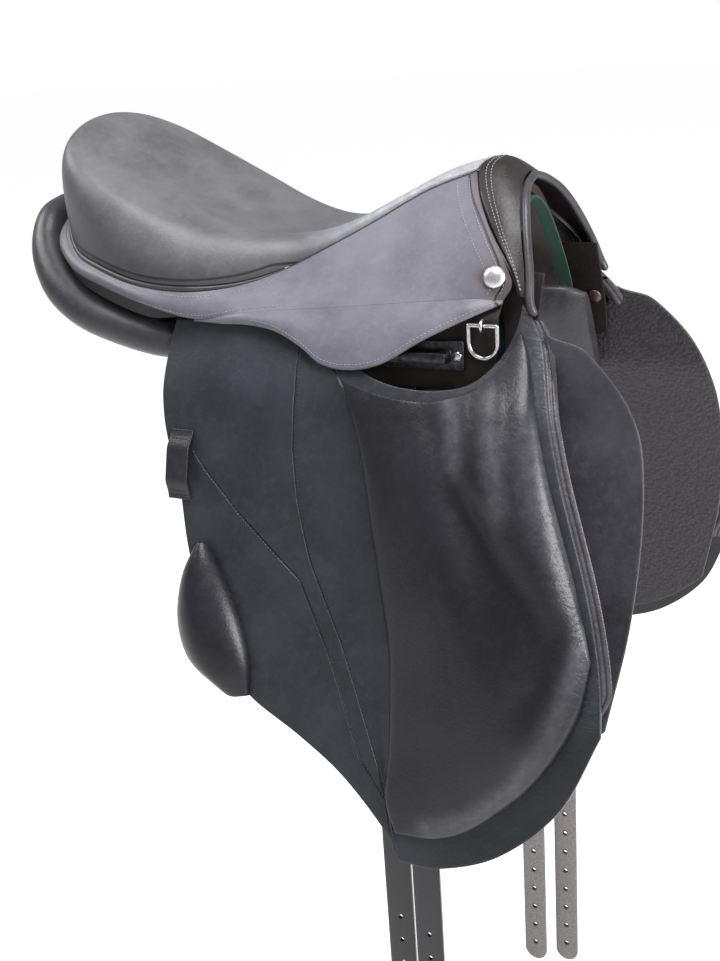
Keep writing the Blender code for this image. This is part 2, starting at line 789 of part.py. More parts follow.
def build_seat():
    """Seat cover, foam, webbing and the tree's cantle."""
    across = SEAT_STEPS_ACROSS * 2
    cover = (SEAT, 0.0), (SEAT, COVER_THICKNESS)
    seat_shell("seat_cover", *cover, 1.0, 0.0, 1.0, across, SEAT_STEPS_ALONG, "soft leather")
    foam = (SEAT, COVER_THICKNESS + FOAM_GAP), (TREE, 0.0)
    cell = 1.0 / SEAT_STEPS_ACROSS
    step = 1.0 / SEAT_STEPS_ALONG
    seat_shell("seat_foam", *foam, 6 * cell, step, 1.0, 12, SEAT_STEPS_ALONG - 1, "foam")
    web = (TREE, LAYER_GAP), (TREE, LAYER_GAP + WEB_THICKNESS)
    seat_shell("seat_webbing", *web, 2 * cell, 2 * step, 18 * step, 4, 16, "web")
    tree_top = LAYER_GAP * 2 + WEB_THICKNESS
    tree = (TREE, tree_top), (TREE, tree_top + TREE_THICKNESS)

    def cantle_keep(u, v):
        return not (abs(u - 0.5) < 0.2 and v < 0.6)

    seat_shell("tree_cantle", *tree, 5 * cell, 12 * step, 1.0, 10, 8, "wood", cantle_keep)


def build_welt():
    """Welt round the seat, from the pommel seam round the cantle and back."""
    right = [spline(WELT, step / 26, MIRRORED_WELT) for step in range(27)]
    left = [Vector((point.x, -point.y, point.z)) for point in reversed(right[:-1])]
    tube("seat_welt", right + left, WELT_RADIUS, "leather")


def pommel_place(across, down, depth):
    """Pommel cover over the full width, from the seam (down 0) to the bead (down 1)."""
    share = abs(across)
    seam = even_spline(SEAM_TOP, share)
    bead = even_spline(BEAD_TOP, share)
    crown = Vector((0.0, 0.0, 1.0)) * (POMMEL_RISE * math.sin(math.pi * down) * (1.0 - share))
    found = mix(seam, bead, down) + crown
    outward = Vector((0.25, -math.sin(share * 1.25), math.cos(share * 1.25)))
    outward.normalize()
    found -= outward * depth
    if share < 0.000001:
        found.y = 0.0
    if across > 0:
        found.y = -found.y
    return found


SEAM_TOP = vectors(POMMEL_REAR_EDGE)
BEAD_TOP = vectors(POMMEL_FRONT_EDGE)


def build_pommel():
    """Pommel cover, its front bead and the lining of the arch."""

    def outer(across, down):
        return pommel_place(across * 2.0 - 1.0, down, 0.0)

    def inner(across, down):
        return pommel_place(across * 2.0 - 1.0, down, COVER_THICKNESS)

    block("pommel_cover", outer, inner, 16, 4, "leather")
    right = [even_spline(BEAD, step / 20) for step in range(21)]
    left = [Vector((point.x, -point.y, point.z)) for point in right[1:]]
    tube("front_binding", list(reversed(right)) + left, BEAD_RADIUS, "leather")


def build_skirt_top(side):
    """Part of the skirt that is sewn down, from the pommel round to the cantle."""
    surface = Surface(skirt_point, side)
    trim = SEAM_GAP / 2

    def outer(across, down):
        found = surface.layer(across, down, -SKIRT_THICKNESS / 2)
        return keep_side(found, side, trim)

    def inner(across, down):
        found = surface.layer(across, down, SKIRT_THICKNESS / 2)
        return keep_side(found, side, trim)

    block("skirt_top_" + side_name(side), outer, inner, SKIRT_COLUMNS, SKIRT_ROWS, "leather")


def keep_side(found, side, trim):
    """Keep a point on its own side of the middle plane."""
    if found.y * side < trim:
        found.y = trim * side
    return found


def build_skirt(side):
    """Free part of the skirt, which folds up on the crease."""
    surface = Surface(lobe_point, side)
    made = sheet("skirt_" + side_name(side), surface, SKIRT_THICKNESS, 12, 4, "leather")
    move_origin(made, crease_on(side) + Vector((0.0, SKIRT_HINGE_OUT * side, 0.0)))


def crease_on(side):
    """Front end of the crease on a side."""
    return Vector((CREASE_A.x, abs(CREASE_A.y) * side, CREASE_A.z))


def build_flap(side):
    """Flap with its knee block, thigh block, keeper and rolled edge."""
    word = side_name(side)
    hinge = crease_on(side)
    surface = Surface(flap_point, side)
    flap = sheet("flap_" + word, surface, FLAP_THICKNESS, 11, 11, "leather")
    move_origin(flap, hinge)
    seat = FLAP_THICKNESS / 2 + LAYER_GAP
    pad_seat = FLAP_THICKNESS / 2 + PAD_GAP

    def lifted(found, lift):
        place = on_flap(found, lift)
        return Vector((place.x, -place.y * side, place.z))

    def knee_lift(across, down):
        edge = math.sin(math.pi * across) ** 0.55 * math.sin(math.pi * min(1.0, 0.06 + down * 0.94)) ** 0.5
        swell = 0.62 + 0.38 * smooth(down * 1.4) * smooth(across * 1.5)
        fold = 6.0 * math.exp(-((across - 0.46 - 0.16 * down) / 0.09) ** 2) * smooth((0.85 - down) * 2)
        return KNEE_EDGE + KNEE_DEPTH * edge * swell - fold * edge

    def knee_top(across, down):
        return lifted(coons(*KNEE_EDGES, across, down), pad_seat + knee_lift(across, down))

    def knee_foot(across, down):
        return lifted(coons(*KNEE_EDGES, across, down), pad_seat)

    knee = block("knee_block_" + word, knee_top, knee_foot, 9, 12, "soft leather")
    move_origin(knee, hinge)

    def thigh_lift(across, down):
        edge = math.sin(math.pi * across) ** 0.6 * math.sin(math.pi * (0.03 + down * 0.94)) ** 0.7
        return THIGH_EDGE + THIGH_DEPTH * edge * mix(0.75, 1.0, down)

    def thigh_top(across, down):
        return lifted(coons(*THIGH_EDGES, across, down), seat + thigh_lift(across, down))

    def thigh_foot(across, down):
        return lifted(coons(*THIGH_EDGES, across, down), seat)

    thigh = block("thigh_block_" + word, thigh_top, thigh_foot, 8, 9, "soft leather")
    move_origin(thigh, hinge)
    build_keeper(side, seat, hinge)
    build_edging(side, seat, hinge)


def build_keeper(side, seat, hinge):
    """Loop that holds the end of the stirrup leather."""
    x_rear = fit_x(KEEPER_X) - KEEPER_WIDTH / 2

    def at(extra):
        def place(across, down):
            x = x_rear + KEEPER_WIDTH * across
            z = mix(fit_z(KEEPER_TOP), fit_z(KEEPER_FOOT), down)
            lift = seat + extra + KEEPER_LIFT * smooth(min(down, 1.0 - down) / 0.3)
            found = on_flap(Vector((x, 0.0, z)), lift)
            return Vector((found.x, -found.y * side, found.z))

        return place

    loop = block("keeper_" + side_name(side), at(KEEPER_THICKNESS), at(0.0), 3, 14, "leather")
    move_origin(loop, hinge)


def build_edging(side, seat, hinge):
    """Rolled leather behind the flap's front edge."""
    front_line = FLAP_EDGES[3]

    def at(depth):
        def place(across, down):
            edge = even_spline(front_line, mix(EDGING_START, 0.99, down))
            x = edge.x + EDGING_PROUD - EDGING_WIDTH * (1.0 - across)
            swell = math.sin(math.pi * mix(0.12, 0.88, across))
            found = on_flap(Vector((x, 0.0, edge.z)), -(seat + LAYER_GAP + depth * swell))
            return Vector((found.x, -found.y * side, found.z))

        return place

    roll = block("flap_edging_" + side_name(side), at(0.0), at(EDGING_DEPTH), 4, 12, "leather")
    move_origin(roll, hinge)


def build_sweat_flap(side):
    """Sweat flap between the girth straps and the horse."""
    surface = Surface(sweat_point, side)
    sheet("sweat_flap_" + side_name(side), surface, SWEAT_FLAP_THICKNESS, 7, 9, "soft leather")


def panel_ring(station, angle):
    """Point on a panel section at an angle."""
    x, y, z, half_width, half_depth, tilt = station
    power = 0.75
    wide = math.copysign(abs(math.cos(angle)) ** power, math.cos(angle)) * half_width
    deep = math.copysign(abs(math.sin(angle)) ** power, math.sin(angle)) * half_depth
    lean = math.radians(tilt)
    out = y + wide * math.cos(lean) + deep * math.sin(lean)
    up = z - wide * math.sin(lean) + deep * math.cos(lean)
    return Vector((x, out, up))


def build_panel(side):
    """Stuffed panel beside the gullet, with its round rear gusset."""
    work = bmesh.new()
    ring_count = 12
    steps = 16
    rows = []
    stations = [Vector(station[:3]) for station in PANEL_STATIONS]
    sizes = [Vector(station[3:]) for station in PANEL_STATIONS]
    for step in range(steps + 1):
        share = step / steps
        place = spline(stations, share)
        size = spline(sizes, share)
        station = (*place, *size)
        ring = []
        for index in range(ring_count):
            found = panel_ring(station, 2 * math.pi * index / ring_count)
            found = fit((found.x, found.y * side, found.z)) * MM
            ring.append(work.verts.new(found))
        rows.append(ring)
    for first, second in zip(rows, rows[1:]):
        for index in range(ring_count):
            after = (index + 1) % ring_count
            work.faces.new((first[index], first[after], second[after], second[index]))
    work.faces.new(rows[0])
    work.faces.new(list(reversed(rows[-1])))
    finish_mesh(work, "panel_" + side_name(side), "soft leather", 70.0)


# Tree, lining and metal fittings


def build_head():
    """Head of the tree and the steel plate under it."""
    cover = TREE_THICKNESS
    line = []
    for y, z in HEAD_LINE:
        inside = cover * min(1.0, y / HEAD_BESIDE_RAIL)
        line.append(Vector((0.0, inside - fit_y(y + inside), fit_z(z))))

    def arch(across, down, inset):
        share = across * 2.0 - 1.0
        width = abs(share)
        found = even_spline(line, width)
        step = 0.01
        along = even_spline(line, min(1.0, width + step)) - even_spline(line, max(0.0, width - step))
        inward = Vector((0.0, -along.z, along.y))
        inward.normalize()
        if width < 0.000001:
            inward = Vector((0.0, 0.0, -1.0))
        found = found + inward * inset
        found.x = fit_x(mix(HEAD_REAR_X, HEAD_FRONT_X, down)) + 6.0 * width
        if share > 0:
            found.y = -found.y
        return found

    def layer(inset, start, end, trim):
        def place(across, down):
            return arch(mix(trim, 1.0 - trim, across), mix(start, end, down), inset)

        return place

    block("tree_head", layer(0.0, 0, 1, 0.0), layer(TREE_THICKNESS, 0, 1, 0.0), 24, 2, "wood")
    near = TREE_THICKNESS + LAYER_GAP
    far = near + PLATE_THICKNESS
    block("head_plate", layer(near, 0.15, 0.85, 0.05), layer(far, 0.15, 0.85, 0.05), 22, 1, "steel")
    top = far + LAYER_GAP
    lining = top + LINING_THICKNESS
    block("arch_lining", layer(top, -0.1, 1.25, 0.02), layer(lining, -0.1, 1.25, 0.02), 20, 2, "felt")


def build_rail(side):
    """Side rail of the tree, under the sewn skirt."""
    surface = Surface(skirt_point, side)
    near = SKIRT_THICKNESS / 2 + PAD_GAP

    def at(depth):
        def place(across, down):
            return surface.layer(mix(RAIL_REAR, RAIL_FRONT, across), mix(RAIL_TOP, RAIL_FOOT, down), depth)

        return place

    block("tree_rail_" + side_name(side), at(near), at(near + TREE_THICKNESS), 14, 3, "wood")


def lining_y(z):
    """Place of the lining behind the stirrup bar, as a positive distance."""
    return fit_y(LINING_Y_AT_TOP) + LINING_SLOPE * (fit_z(LINING_TOP) - z)


def bar_middle_x():
    """Middle of the stirrup bar, whose front end stays in its place."""
    return fit_x(BAR_PLATE_FRONT_X) - BAR_PLATE_LENGTH / 2


def build_bar_lining(side):
    """Leather that covers the tree behind the stirrup bar."""
    rear = bar_middle_x() - BAR_PLATE_LENGTH / 2 - LINING_MARGIN

    def at(extra):
        def place(across, down):
            x = mix(rear, fit_x(LINING_FRONT_X), across)
            z = mix(fit_z(LINING_TOP), fit_z(LINING_FOOT), down)
            return Vector((x, (lining_y(z) + extra) * side, z))

        return place

    block("bar_lining_" + side_name(side), at(0.0), at(-LINING_THICKNESS), 4, 3, "lining")


def box(name, low, high, colour):
    """Box primitive between two corners in millimetres."""
    work = bmesh.new()
    bmesh.ops.create_cube(work, size=1.0)
    for vertex in work.verts:
        vertex.co.x = mix(low.x, high.x, vertex.co.x + 0.5) * MM
        vertex.co.y = mix(low.y, high.y, vertex.co.y + 0.5) * MM
        vertex.co.z = mix(low.z, high.z, vertex.co.z + 0.5) * MM
    return finish_mesh(work, name, colour, 30.0)


def bar_levels():
    """Height of the stirrup bar, and its plate's inner and outer distance from the middle plane."""
    z = fit_z(BAR_MIDDLE_Z)
    inner = lining_y(z - BAR_PLATE_HEIGHT / 2) + LAYER_GAP
    return z, inner, inner + BAR_PLATE_THICKNESS


def mirrored_box(name, x_pair, y_pair, z_pair, side, colour):
    """Box between pairs of values, with the y pair given as distances on one side."""
    near, far = sorted((y_pair[0] * side, y_pair[1] * side))
    return box(name, Vector((x_pair[0], near, z_pair[0])), Vector((x_pair[1], far, z_pair[1])), colour)


def build_stirrup_bar(side):
    """Stirrup bar forged in one with its plate, open at the rear."""
    word = side_name(side)
    x = bar_middle_x()
    z, inner, outer = bar_levels()
    half = BAR_LENGTH / 2
    bar_out = outer + BAR_STAND_OFF
    bar_in = bar_out - BAR_DEPTH
    foot = outer - BAR_PLATE_THICKNESS / 3
    outline = [
        (half - BAR_LEG, foot), (half, foot), (half, bar_out), (BAR_MOUTH - half, bar_out),
        (BAR_MOUTH - half, bar_in), (half - BAR_LEG, bar_in),
    ]
    curve = bpy.data.curves.new("bar_outline_" + word, "CURVE")
    curve.dimensions = "2D"
    curve.fill_mode = "BOTH"
    curve.extrude = BAR_HEIGHT / 2 * MM
    line = curve.splines.new("POLY")
    line.points.add(len(outline) - 1)
    for knot, (along, out) in zip(line.points, outline):
        knot.co = ((x + along) * MM, out * side * MM, 0.0, 1.0)
    line.use_cyclic_u = True
    drawn = bpy.data.objects.new("bar_outline_" + word, curve)
    CUTTERS.objects.link(drawn)
    drawn.location.z = z * MM
    bpy.context.view_layer.update()
    evaluated = drawn.evaluated_get(bpy.context.evaluated_depsgraph_get())
    mesh = bpy.data.meshes.new_from_object(evaluated)
    mesh.transform(drawn.matrix_world)
    bpy.data.objects.remove(drawn, do_unlink=True)
    work = bmesh.new()
    work.from_mesh(mesh)
    bmesh.ops.remove_doubles(work, verts=work.verts, dist=0.00002)
    bmesh.ops.recalc_face_normals(work, faces=work.faces)
    work.to_mesh(mesh)
    work.free()
    arm = bpy.data.objects.new("bar_arm_" + word, mesh)
    arm.hide_render = True
    arm.display_type = "WIRE"
    CUTTERS.objects.link(arm)
    x_pair = (x - BAR_PLATE_LENGTH / 2, x + BAR_PLATE_LENGTH / 2)
    z_pair = (z - BAR_PLATE_HEIGHT / 2, z + BAR_PLATE_HEIGHT / 2)
    plate = mirrored_box("stirrup_bar_" + word, x_pair, (inner, outer), z_pair, side, "steel")
    union = plate.modifiers.new("arm", "BOOLEAN")
    union.operation = "UNION"
    union.solver = "EXACT"
    union.object = arm


def build_bar_catch(side):
    """Thumb catch that closes the rear end of the stirrup bar."""
    x = bar_middle_x()
    z, inner, outer = bar_levels()
    near = outer + LAYER_GAP
    far = outer + BAR_STAND_OFF
    rear = x - BAR_LENGTH / 2 + CATCH_SETBACK
    z_pair = (z - BAR_HEIGHT / 2, z + BAR_HEIGHT / 2)
    name = "bar_catch_" + side_name(side)
    catch = mirrored_box(name, (rear, rear + CATCH_THICKNESS), (near, far), z_pair, side, "steel")
    middle = rear + CATCH_THICKNESS / 2
    low = z_pair[0] + CATCH_THICKNESS / 2
    move_origin(catch, Vector((middle, (near + far) / 2 * side, low)))


def build_bar_rivets(side):
    """Two rivets that hold the stirrup bar's plate to the tree."""
    z, inner, outer = bar_levels()
    ends = BAR_PLATE_LENGTH / 2 - RIVET_INSET
    for word, x in (("front", ends), ("rear", -ends)):
        place = Vector((bar_middle_x() + x, (outer + LAYER_GAP) * side, z))
        profile = head_profile(RIVET_DIAMETER, RIVET_HEIGHT, RIVET_COLLAR)
        name = "bar_rivet_" + word + "_" + side_name(side)
        turned(name, profile, place, Vector((0.0, side, 0.0)), "nickel", 8)


def facet_point(surface, across, down, depth):
    """Point at a depth below a flat facet of the sewn skirt."""
    column = min(SKIRT_COLUMNS - 1, int(across * SKIRT_COLUMNS))
    row = min(SKIRT_ROWS - 1, int(down * SKIRT_ROWS))
    u = across * SKIRT_COLUMNS - column
    v = down * SKIRT_ROWS - row

    def corner(i, j):
        return surface.layer((column + i) / SKIRT_COLUMNS, (row + j) / SKIRT_ROWS, depth)

    return mix(mix(corner(0, 0), corner(1, 0), u), mix(corner(0, 1), corner(1, 1), u), v)


def build_fittings(side):
    """Nail head at the front of the skirt."""
    surface = Surface(skirt_point, side)
    nail = facet_point(surface, *NAIL_SHARES, -(SKIRT_THICKNESS / 2 + NAIL_LIFT))
    outward = surface.normal(*NAIL_SHARES)
    turned("nail_head_" + side_name(side), head_profile(NAIL_DIAMETER, NAIL_HEIGHT, NAIL_COLLAR), nail, outward, "nickel", 16)


def strap_y(profile, z):
    """Place of a strap at a height, as a positive distance."""
    return fit_y(table(profile, z * DRAWN_HEIGHT / HEIGHT))


def strap_point(profile, middle_x, across, down):
    """Girth strap's middle surface; down runs from its top to its tip."""
    z = mix(STRAP_TOP, STRAP_BOTTOM, down)
    round_end = 1.0
    left = min(down, 1.0 - down) * (STRAP_TOP - STRAP_BOTTOM)
    if left < STRAP_WIDTH / 2:
        fallen = 1.0 - left / (STRAP_WIDTH / 2)
        round_end = math.sqrt(max(0.0, 1.0 - fallen ** 2) * 0.94 + 0.06)
    x = middle_x + (across - 0.5) * STRAP_WIDTH * round_end
    return Vector((x, -strap_y(profile, z), z))


def build_strap(side, word, profile, middle_x):
    """Girth strap with its punched holes."""
    name = "girth_strap_" + word + "_" + side_name(side)
    middle = fit_x(middle_x)
    surface = Surface(lambda across, down: strap_point(profile, middle, across, strap_share(down * STRAP_ROWS)), side)
    strap = sheet(name, surface, STRAP_THICKNESS, 1, STRAP_ROWS, "strap")
    pivot_z = STRAP_TOP - STRAP_WIDTH / 2
    move_origin(strap, Vector((middle, strap_y(profile, pivot_z) * side, pivot_z)))
    holes = bmesh.new()
    for index in range(HOLE_COUNT):
        z = STRAP_BOTTOM + FIRST_HOLE + HOLE_PITCH * index
        matrix_place = Vector((middle, strap_y(profile, z) * side, z)) * MM
        made = bmesh.ops.create_cone(
            holes, cap_ends=True, segments=6, radius1=HOLE_DIAMETER / 2 * MM,
            radius2=HOLE_DIAMETER / 2 * MM, depth=STRAP_THICKNESS * 4 * MM,
        )
        for vertex in made["verts"]:
            turned_place = Vector((vertex.co.x, vertex.co.z, -vertex.co.y))
            vertex.co = turned_place + matrix_place
    mesh = bpy.data.meshes.new(name + "_holes")
    bmesh.ops.recalc_face_normals(holes, faces=holes.faces)
    holes.to_mesh(mesh)
    holes.free()
    cutter = bpy.data.objects.new(name + "_holes", mesh)
    cutter.hide_render = True
    cutter.display_type = "WIRE"
    CUTTERS.objects.link(cutter)
    cut = strap.modifiers.new("holes", "BOOLEAN")
    cut.operation = "DIFFERENCE"
    cut.solver = "EXACT"
    cut.object = cutter


def strap_share(row):
    """Height of a strap's grid row as a share of its length, with more rows at its ends and bend."""
    length = STRAP_TOP - STRAP_BOTTOM
    end = STRAP_WIDTH / 2 / length
    knots = [(0, 0.0), (3, end), (12, STRAP_BEND / length), (16, STRAP_STRAIGHT / length), (18, 1.0 - end), (22, 1.0)]
    for (low, start), (high, finish) in zip(knots, knots[1:]):
        if row <= high:
            return mix(start, finish, (row - low) / (high - low))
    return 1.0


def build_girth_web(side):
    """Web that carries the two girth straps below the tree's rail."""

    def at(extra):
        def place(across, down):
            rear = fit_x(REAR_STRAP_X) - STRAP_WIDTH / 2
            front = fit_x(FRONT_STRAP_X) + STRAP_WIDTH / 2
            z = mix(fit_z(WEB_TOP), STRAP_TOP + LAYER_GAP, down)
            return Vector((mix(rear, front, across), (strap_y(REAR_STRAP_PROFILE, z) + extra) * side, z))

        return place

    half = WEB_THICKNESS / 2
    block("girth_web_" + side_name(side), at(half), at(-half), 4, 2, "web")


def build_gusset(side):
    """Round gusset at the rear of the panel."""
    places = [Vector(knot[:3]) for knot in GUSSET_PATH]
    sizes = [Vector((knot[3], 0.0, 0.0)) for knot in GUSSET_PATH]
    work = bmesh.new()
    rows = []
    steps = 16
    count = 12
    for step in range(steps + 1):
        share = step / steps
        centre = spline(places, share)
        radius = spline(sizes, share).x
        along = spline(places, min(1.0, share + 0.01)) - spline(places, max(0.0, share - 0.01))
        along.normalize()
        first = along.cross(Vector((0.0, 0.0, 1.0)))
        first.normalize()
        second = first.cross(along)
        ring = []
        for index in range(count):
            angle = 2 * math.pi * index / count
            found = centre + (first * math.cos(angle) + second * math.sin(angle)) * radius
            found = fit((found.x, found.y * side, found.z)) * MM
            ring.append(work.verts.new(found))
        rows.append(ring)
    for before, after in zip(rows, rows[1:]):
        for index in range(count):
            beside = (index + 1) % count
            work.faces.new((before[index], before[beside], after[beside], after[index]))
    work.faces.new(rows[0])
    work.faces.new(list(reversed(rows[-1])))
    finish_mesh(work, "panel_gusset_" + side_name(side), "soft leather", 70.0)


def build_facing():
    """Facing that closes the cantle between the skirts and the panel."""
    foot_line = vectors(FACING_FOOT)

    def at(depth):
        def place(across, down):
            share = abs(across * 2.0 - 1.0)
            along = mix(0.0, FACING_FRONT, share)
            top = SKIRT.layer(along, 0.9, SKIRT_THICKNESS / 2 + FACING_GAP)
            foot = even_spline(foot_line, 1.0 - share)
            outward = SKIRT.normal(along, 0.9)
            outward.z = 0.0
            outward.normalize()
            found = mix(top, foot, down) - outward * depth
            if share < 0.000001:
                found.y = 0.0
            if across > 0.5:
                found.y = -found.y
            return found

        return place

    block("cantle_facing", at(0.0), at(FACING_THICKNESS), 24, 2, "leather")


def build_cross_web():
    """Webbing across the tree that carries the girth webs."""
    top = LAYER_GAP * 2 + WEB_THICKNESS
    levels = (TREE, top), (TREE, top + WEB_THICKNESS)
    step = 1.0 / SEAT_STEPS_ALONG
    seat_shell("cross_web", *levels, 6 / SEAT_STEPS_ACROSS, 4 * step, 7 * step, 12, 3, "web")


def build_ring(side):
    """Dee ring and the staple that holds it, below the front of the skirt."""
    word = side_name(side)
    x = fit_x(RING_PLACE[0])
    z = fit_z(RING_PLACE[1])
    top = z + RING_HEIGHT / 2
    points = [(x - RING_WIDTH / 2, top), (x + RING_WIDTH / 2, top)]
    drop = RING_HEIGHT - RING_WIDTH / 2
    for step in range(9):
        angle = math.pi * step / 8
        points.append((x + RING_WIDTH / 2 * math.cos(angle), top - drop - RING_WIDTH / 2 * math.sin(angle)))
    rest = lining_y(z - RING_HEIGHT / 2) + LAYER_GAP + RING_WIRE / 2
    path = [Vector((px, rest * side, pz)) for px, pz in points]
    ring = tube_mesh("dee_ring_" + word, path, RING_WIRE / 2, "nickel", True)
    move_origin(ring, Vector((x, rest * side, top)))
    arc = []
    for step in range(9):
        angle = -math.pi / 2 + math.pi * step / 8
        out = rest + STAPLE_RADIUS * math.cos(angle)
        arc.append(Vector((x, out * side, top + STAPLE_RADIUS * math.sin(angle))))
    low = top - STAPLE_RADIUS
    high = top + STAPLE_RADIUS
    arc.insert(0, Vector((x, (lining_y(low - STAPLE_WIRE / 2) + LAYER_GAP) * side, low)))
    arc.append(Vector((x, (lining_y(high - STAPLE_WIRE / 2) + LAYER_GAP) * side, high)))
    tube_mesh("ring_staple_" + word, arc, STAPLE_WIRE / 2, "nickel")


def build_pocket(side):
    """Pocket over the tree point at the front of the panel, with its button."""
    word = side_name(side)
    rear_x, front_x = POCKET_LINE[0]
    line = POCKET_LINE[1:]

    def at(extra):
        def place(across, down):
            z = mix(fit_z(line[0][0]), fit_z(line[-1][0]), down)
            y = fit_y(table(line, z * DRAWN_HEIGHT / HEIGHT))
            return Vector((mix(fit_x(rear_x), fit_x(front_x), across), (y + extra) * side, z))

        return place

    block("point_pocket_" + word, at(0.0), at(-SWEAT_FLAP_THICKNESS), 3, 4, "lining")
    z = fit_z(BUTTON_PLACE[1])
    y = fit_y(table(line, BUTTON_PLACE[1])) - SWEAT_FLAP_THICKNESS - LAYER_GAP * 1.6
    inward = Vector((0.0, -BUTTON_LEAN[0] * side, -BUTTON_LEAN[1] * WIDTH / DRAWN_WIDTH))
    inward.normalize()
    place = Vector((fit_x(BUTTON_PLACE[0]), y * side, z))
    turned("panel_button_" + word, head_profile(BUTTON_DIAMETER, BUTTON_HEIGHT, BUTTON_COLLAR), place, inward, "brass", 16)


def build_all():
    """Build every piece."""
    build_seat()
    build_welt()
    build_pommel()
    build_head()
    build_facing()
    build_cross_web()
    for side in (-1, 1):
        build_skirt_top(side)
        build_skirt(side)
        build_flap(side)
        build_sweat_flap(side)
        build_panel(side)
        build_rail(side)
        build_bar_lining(side)
        build_stirrup_bar(side)
        build_bar_catch(side)
        build_bar_rivets(side)
        build_ring(side)
        build_pocket(side)
        build_gusset(side)
        build_girth_web(side)
        build_fittings(side)
        build_strap(side, "front", FRONT_STRAP_PROFILE, FRONT_STRAP_X)
        build_strap(side, "rear", REAR_STRAP_PROFILE, REAR_STRAP_X)


build_all()
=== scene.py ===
"""Jumping saddle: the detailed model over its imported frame.

The pieces are drawn in millimetres on the right side, mirrored for the left one, and
written to their meshes in metres. X points to the pommel, Y to the left side and Z up.
"""

import logging
import math
from contextlib import contextmanager
from dataclasses import dataclass
from enum import Enum
from functools import cached_property
from typing import Callable, Iterator, Optional, Sequence

import bpy
import numpy as np
from mathutils import Matrix, Vector


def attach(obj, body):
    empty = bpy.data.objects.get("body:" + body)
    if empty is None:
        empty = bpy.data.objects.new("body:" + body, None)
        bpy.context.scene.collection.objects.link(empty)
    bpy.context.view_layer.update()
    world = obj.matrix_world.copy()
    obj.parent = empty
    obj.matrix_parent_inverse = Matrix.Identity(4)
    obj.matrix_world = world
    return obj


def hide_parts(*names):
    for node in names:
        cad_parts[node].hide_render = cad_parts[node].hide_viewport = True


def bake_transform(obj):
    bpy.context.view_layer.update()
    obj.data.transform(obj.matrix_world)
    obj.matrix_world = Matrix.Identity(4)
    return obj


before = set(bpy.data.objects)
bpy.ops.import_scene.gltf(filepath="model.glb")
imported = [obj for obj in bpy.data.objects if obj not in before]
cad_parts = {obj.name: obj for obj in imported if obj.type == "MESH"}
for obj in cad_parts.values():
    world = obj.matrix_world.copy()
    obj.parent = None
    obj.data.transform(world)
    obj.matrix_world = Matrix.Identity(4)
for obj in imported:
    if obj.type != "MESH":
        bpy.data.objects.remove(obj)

LOG = logging.getLogger("saddle")

Array = np.ndarray
Place = Callable[[Array, Array, Array], Array]
Ring = Callable[[Array, Array], Array]
Socket = bpy.types.NodeSocket
MM = 0.001  # one millimetre in metres
SEAM_REACH = 20.0  # distance in millimetres over which a seam's mark falls to 0
WAVE_MM = 314  # distance in millimetres in which a wave pattern of scale 1 repeats
WHITE = (1.0, 1.0, 1.0, 1.0)

# Lines of the saddle on its right side, in millimetres, with y as a distance from the middle plane
SEAT_RIDGE = [
    (146, 0, 153), (113, 0, 144), (78, 0, 125), (40, 0, 105), (5, 0, 92), (-30, 0, 88),
    (-70, 0, 94), (-110, 0, 110), (-145, 0, 128), (-168, 0, 142), (-185, 0, 156), (-196, 0, 166),
]
SEAT_RIM = [
    (143, 12, 151), (108, 19, 141), (70, 28, 123), (32, 38, 105), (-2, 53, 96), (-40, 72, 96),
    (-85, 91, 105), (-135, 105, 124), (-187, 104, 150), (-224, 86, 174), (-240, 48, 190), (-244, 0, 196),
]
WELT_LINE = [
    (140, 22, 143), (100, 33, 129), (55, 44, 105), (18, 59, 86), (-18, 78, 69), (-52, 100, 60),
    (-92, 120, 59), (-137, 124, 63), (-185, 113, 73), (-225, 94, 84), (-254, 60, 106), (-266, 0, 122),
]
SKIRT_TOP_FOOT = [
    (187, 90, 54), (150, 94.3, 51.3), (100, 100, 47.6), (55, 105.1, 44.2), (10, 110.2, 40.9), (-36, 115.5, 37.5),
    (-84, 123, 35), (-130, 129, 47), (-181, 117, 58), (-226, 101, 70), (-260, 71, 93), (-274, 0, 111),
]
POMMEL_SEAM = [(140, 22, 143), (151, 42, 125), (171, 65, 99), (186, 79, 80), (193, 86, 66), (187, 90, 54)]
ARCH_BEAD = [(181, 0, 138), (183, 22, 132), (189, 42, 120), (196, 60, 100), (204, 77, 72), (208, 88, 52)]
SKIRT_EDGE = [
    (186.5, 92.8, 51.2), (160, 107, 40), (130, 121, 26), (98, 131, 8), (70, 135, 2), (44, 134, 5),
    (24, 130, 17), (-2, 125.5, 28), (-32, 122, 31.5), (-58, 121.8, 31), (-84, 122.6, 32),
]
FLAP_REAR = [
    (-107, 31), (-111, 8), (-109, -32), (-103, -62), (-88, -100), (-76, -150), (-60, -195),
    (-35, -238), (-4, -268), (46, -292), (88, -316), (128, -350), (145, -373),
]
FLAP_FOOT = [(145, -373), (180, -371), (229, -350), (274, -306), (301, -246)]
FLAP_FRONT = [(201, 50), (219, 25), (240, -30), (262, -90), (282, -146), (296, -200), (301, -246)]
FLAP_TOP = [
    (-107, 31), (-60, 34.5), (-20, 33.5), (12, 29), (42, 19), (66, 6), (90, -5), (116, -11), (145, -12),
    (170, -7), (188, 9), (198, 31), (201, 50),
]
KNEE_REAR = [
    (66, -8), (82, -40), (93, -75), (101, -110), (112, -155), (125, -209), (131, -280), (131, -325), (142, -350),
]
KNEE_FOOT = [(142, -350), (178, -346), (211, -329), (254, -288), (282, -238), (290, -192)]
KNEE_FRONT = [(205, 28), (219, 0), (236, -42), (257, -96), (276, -147), (290, -192)]
KNEE_TOP = [(66, -8), (90, -15), (116, -20), (145, -21), (172, -15), (191, 0), (205, 28)]
THIGH_REAR = [(-64, -148), (-76, -177), (-78, -214), (-65, -245), (-38, -262)]
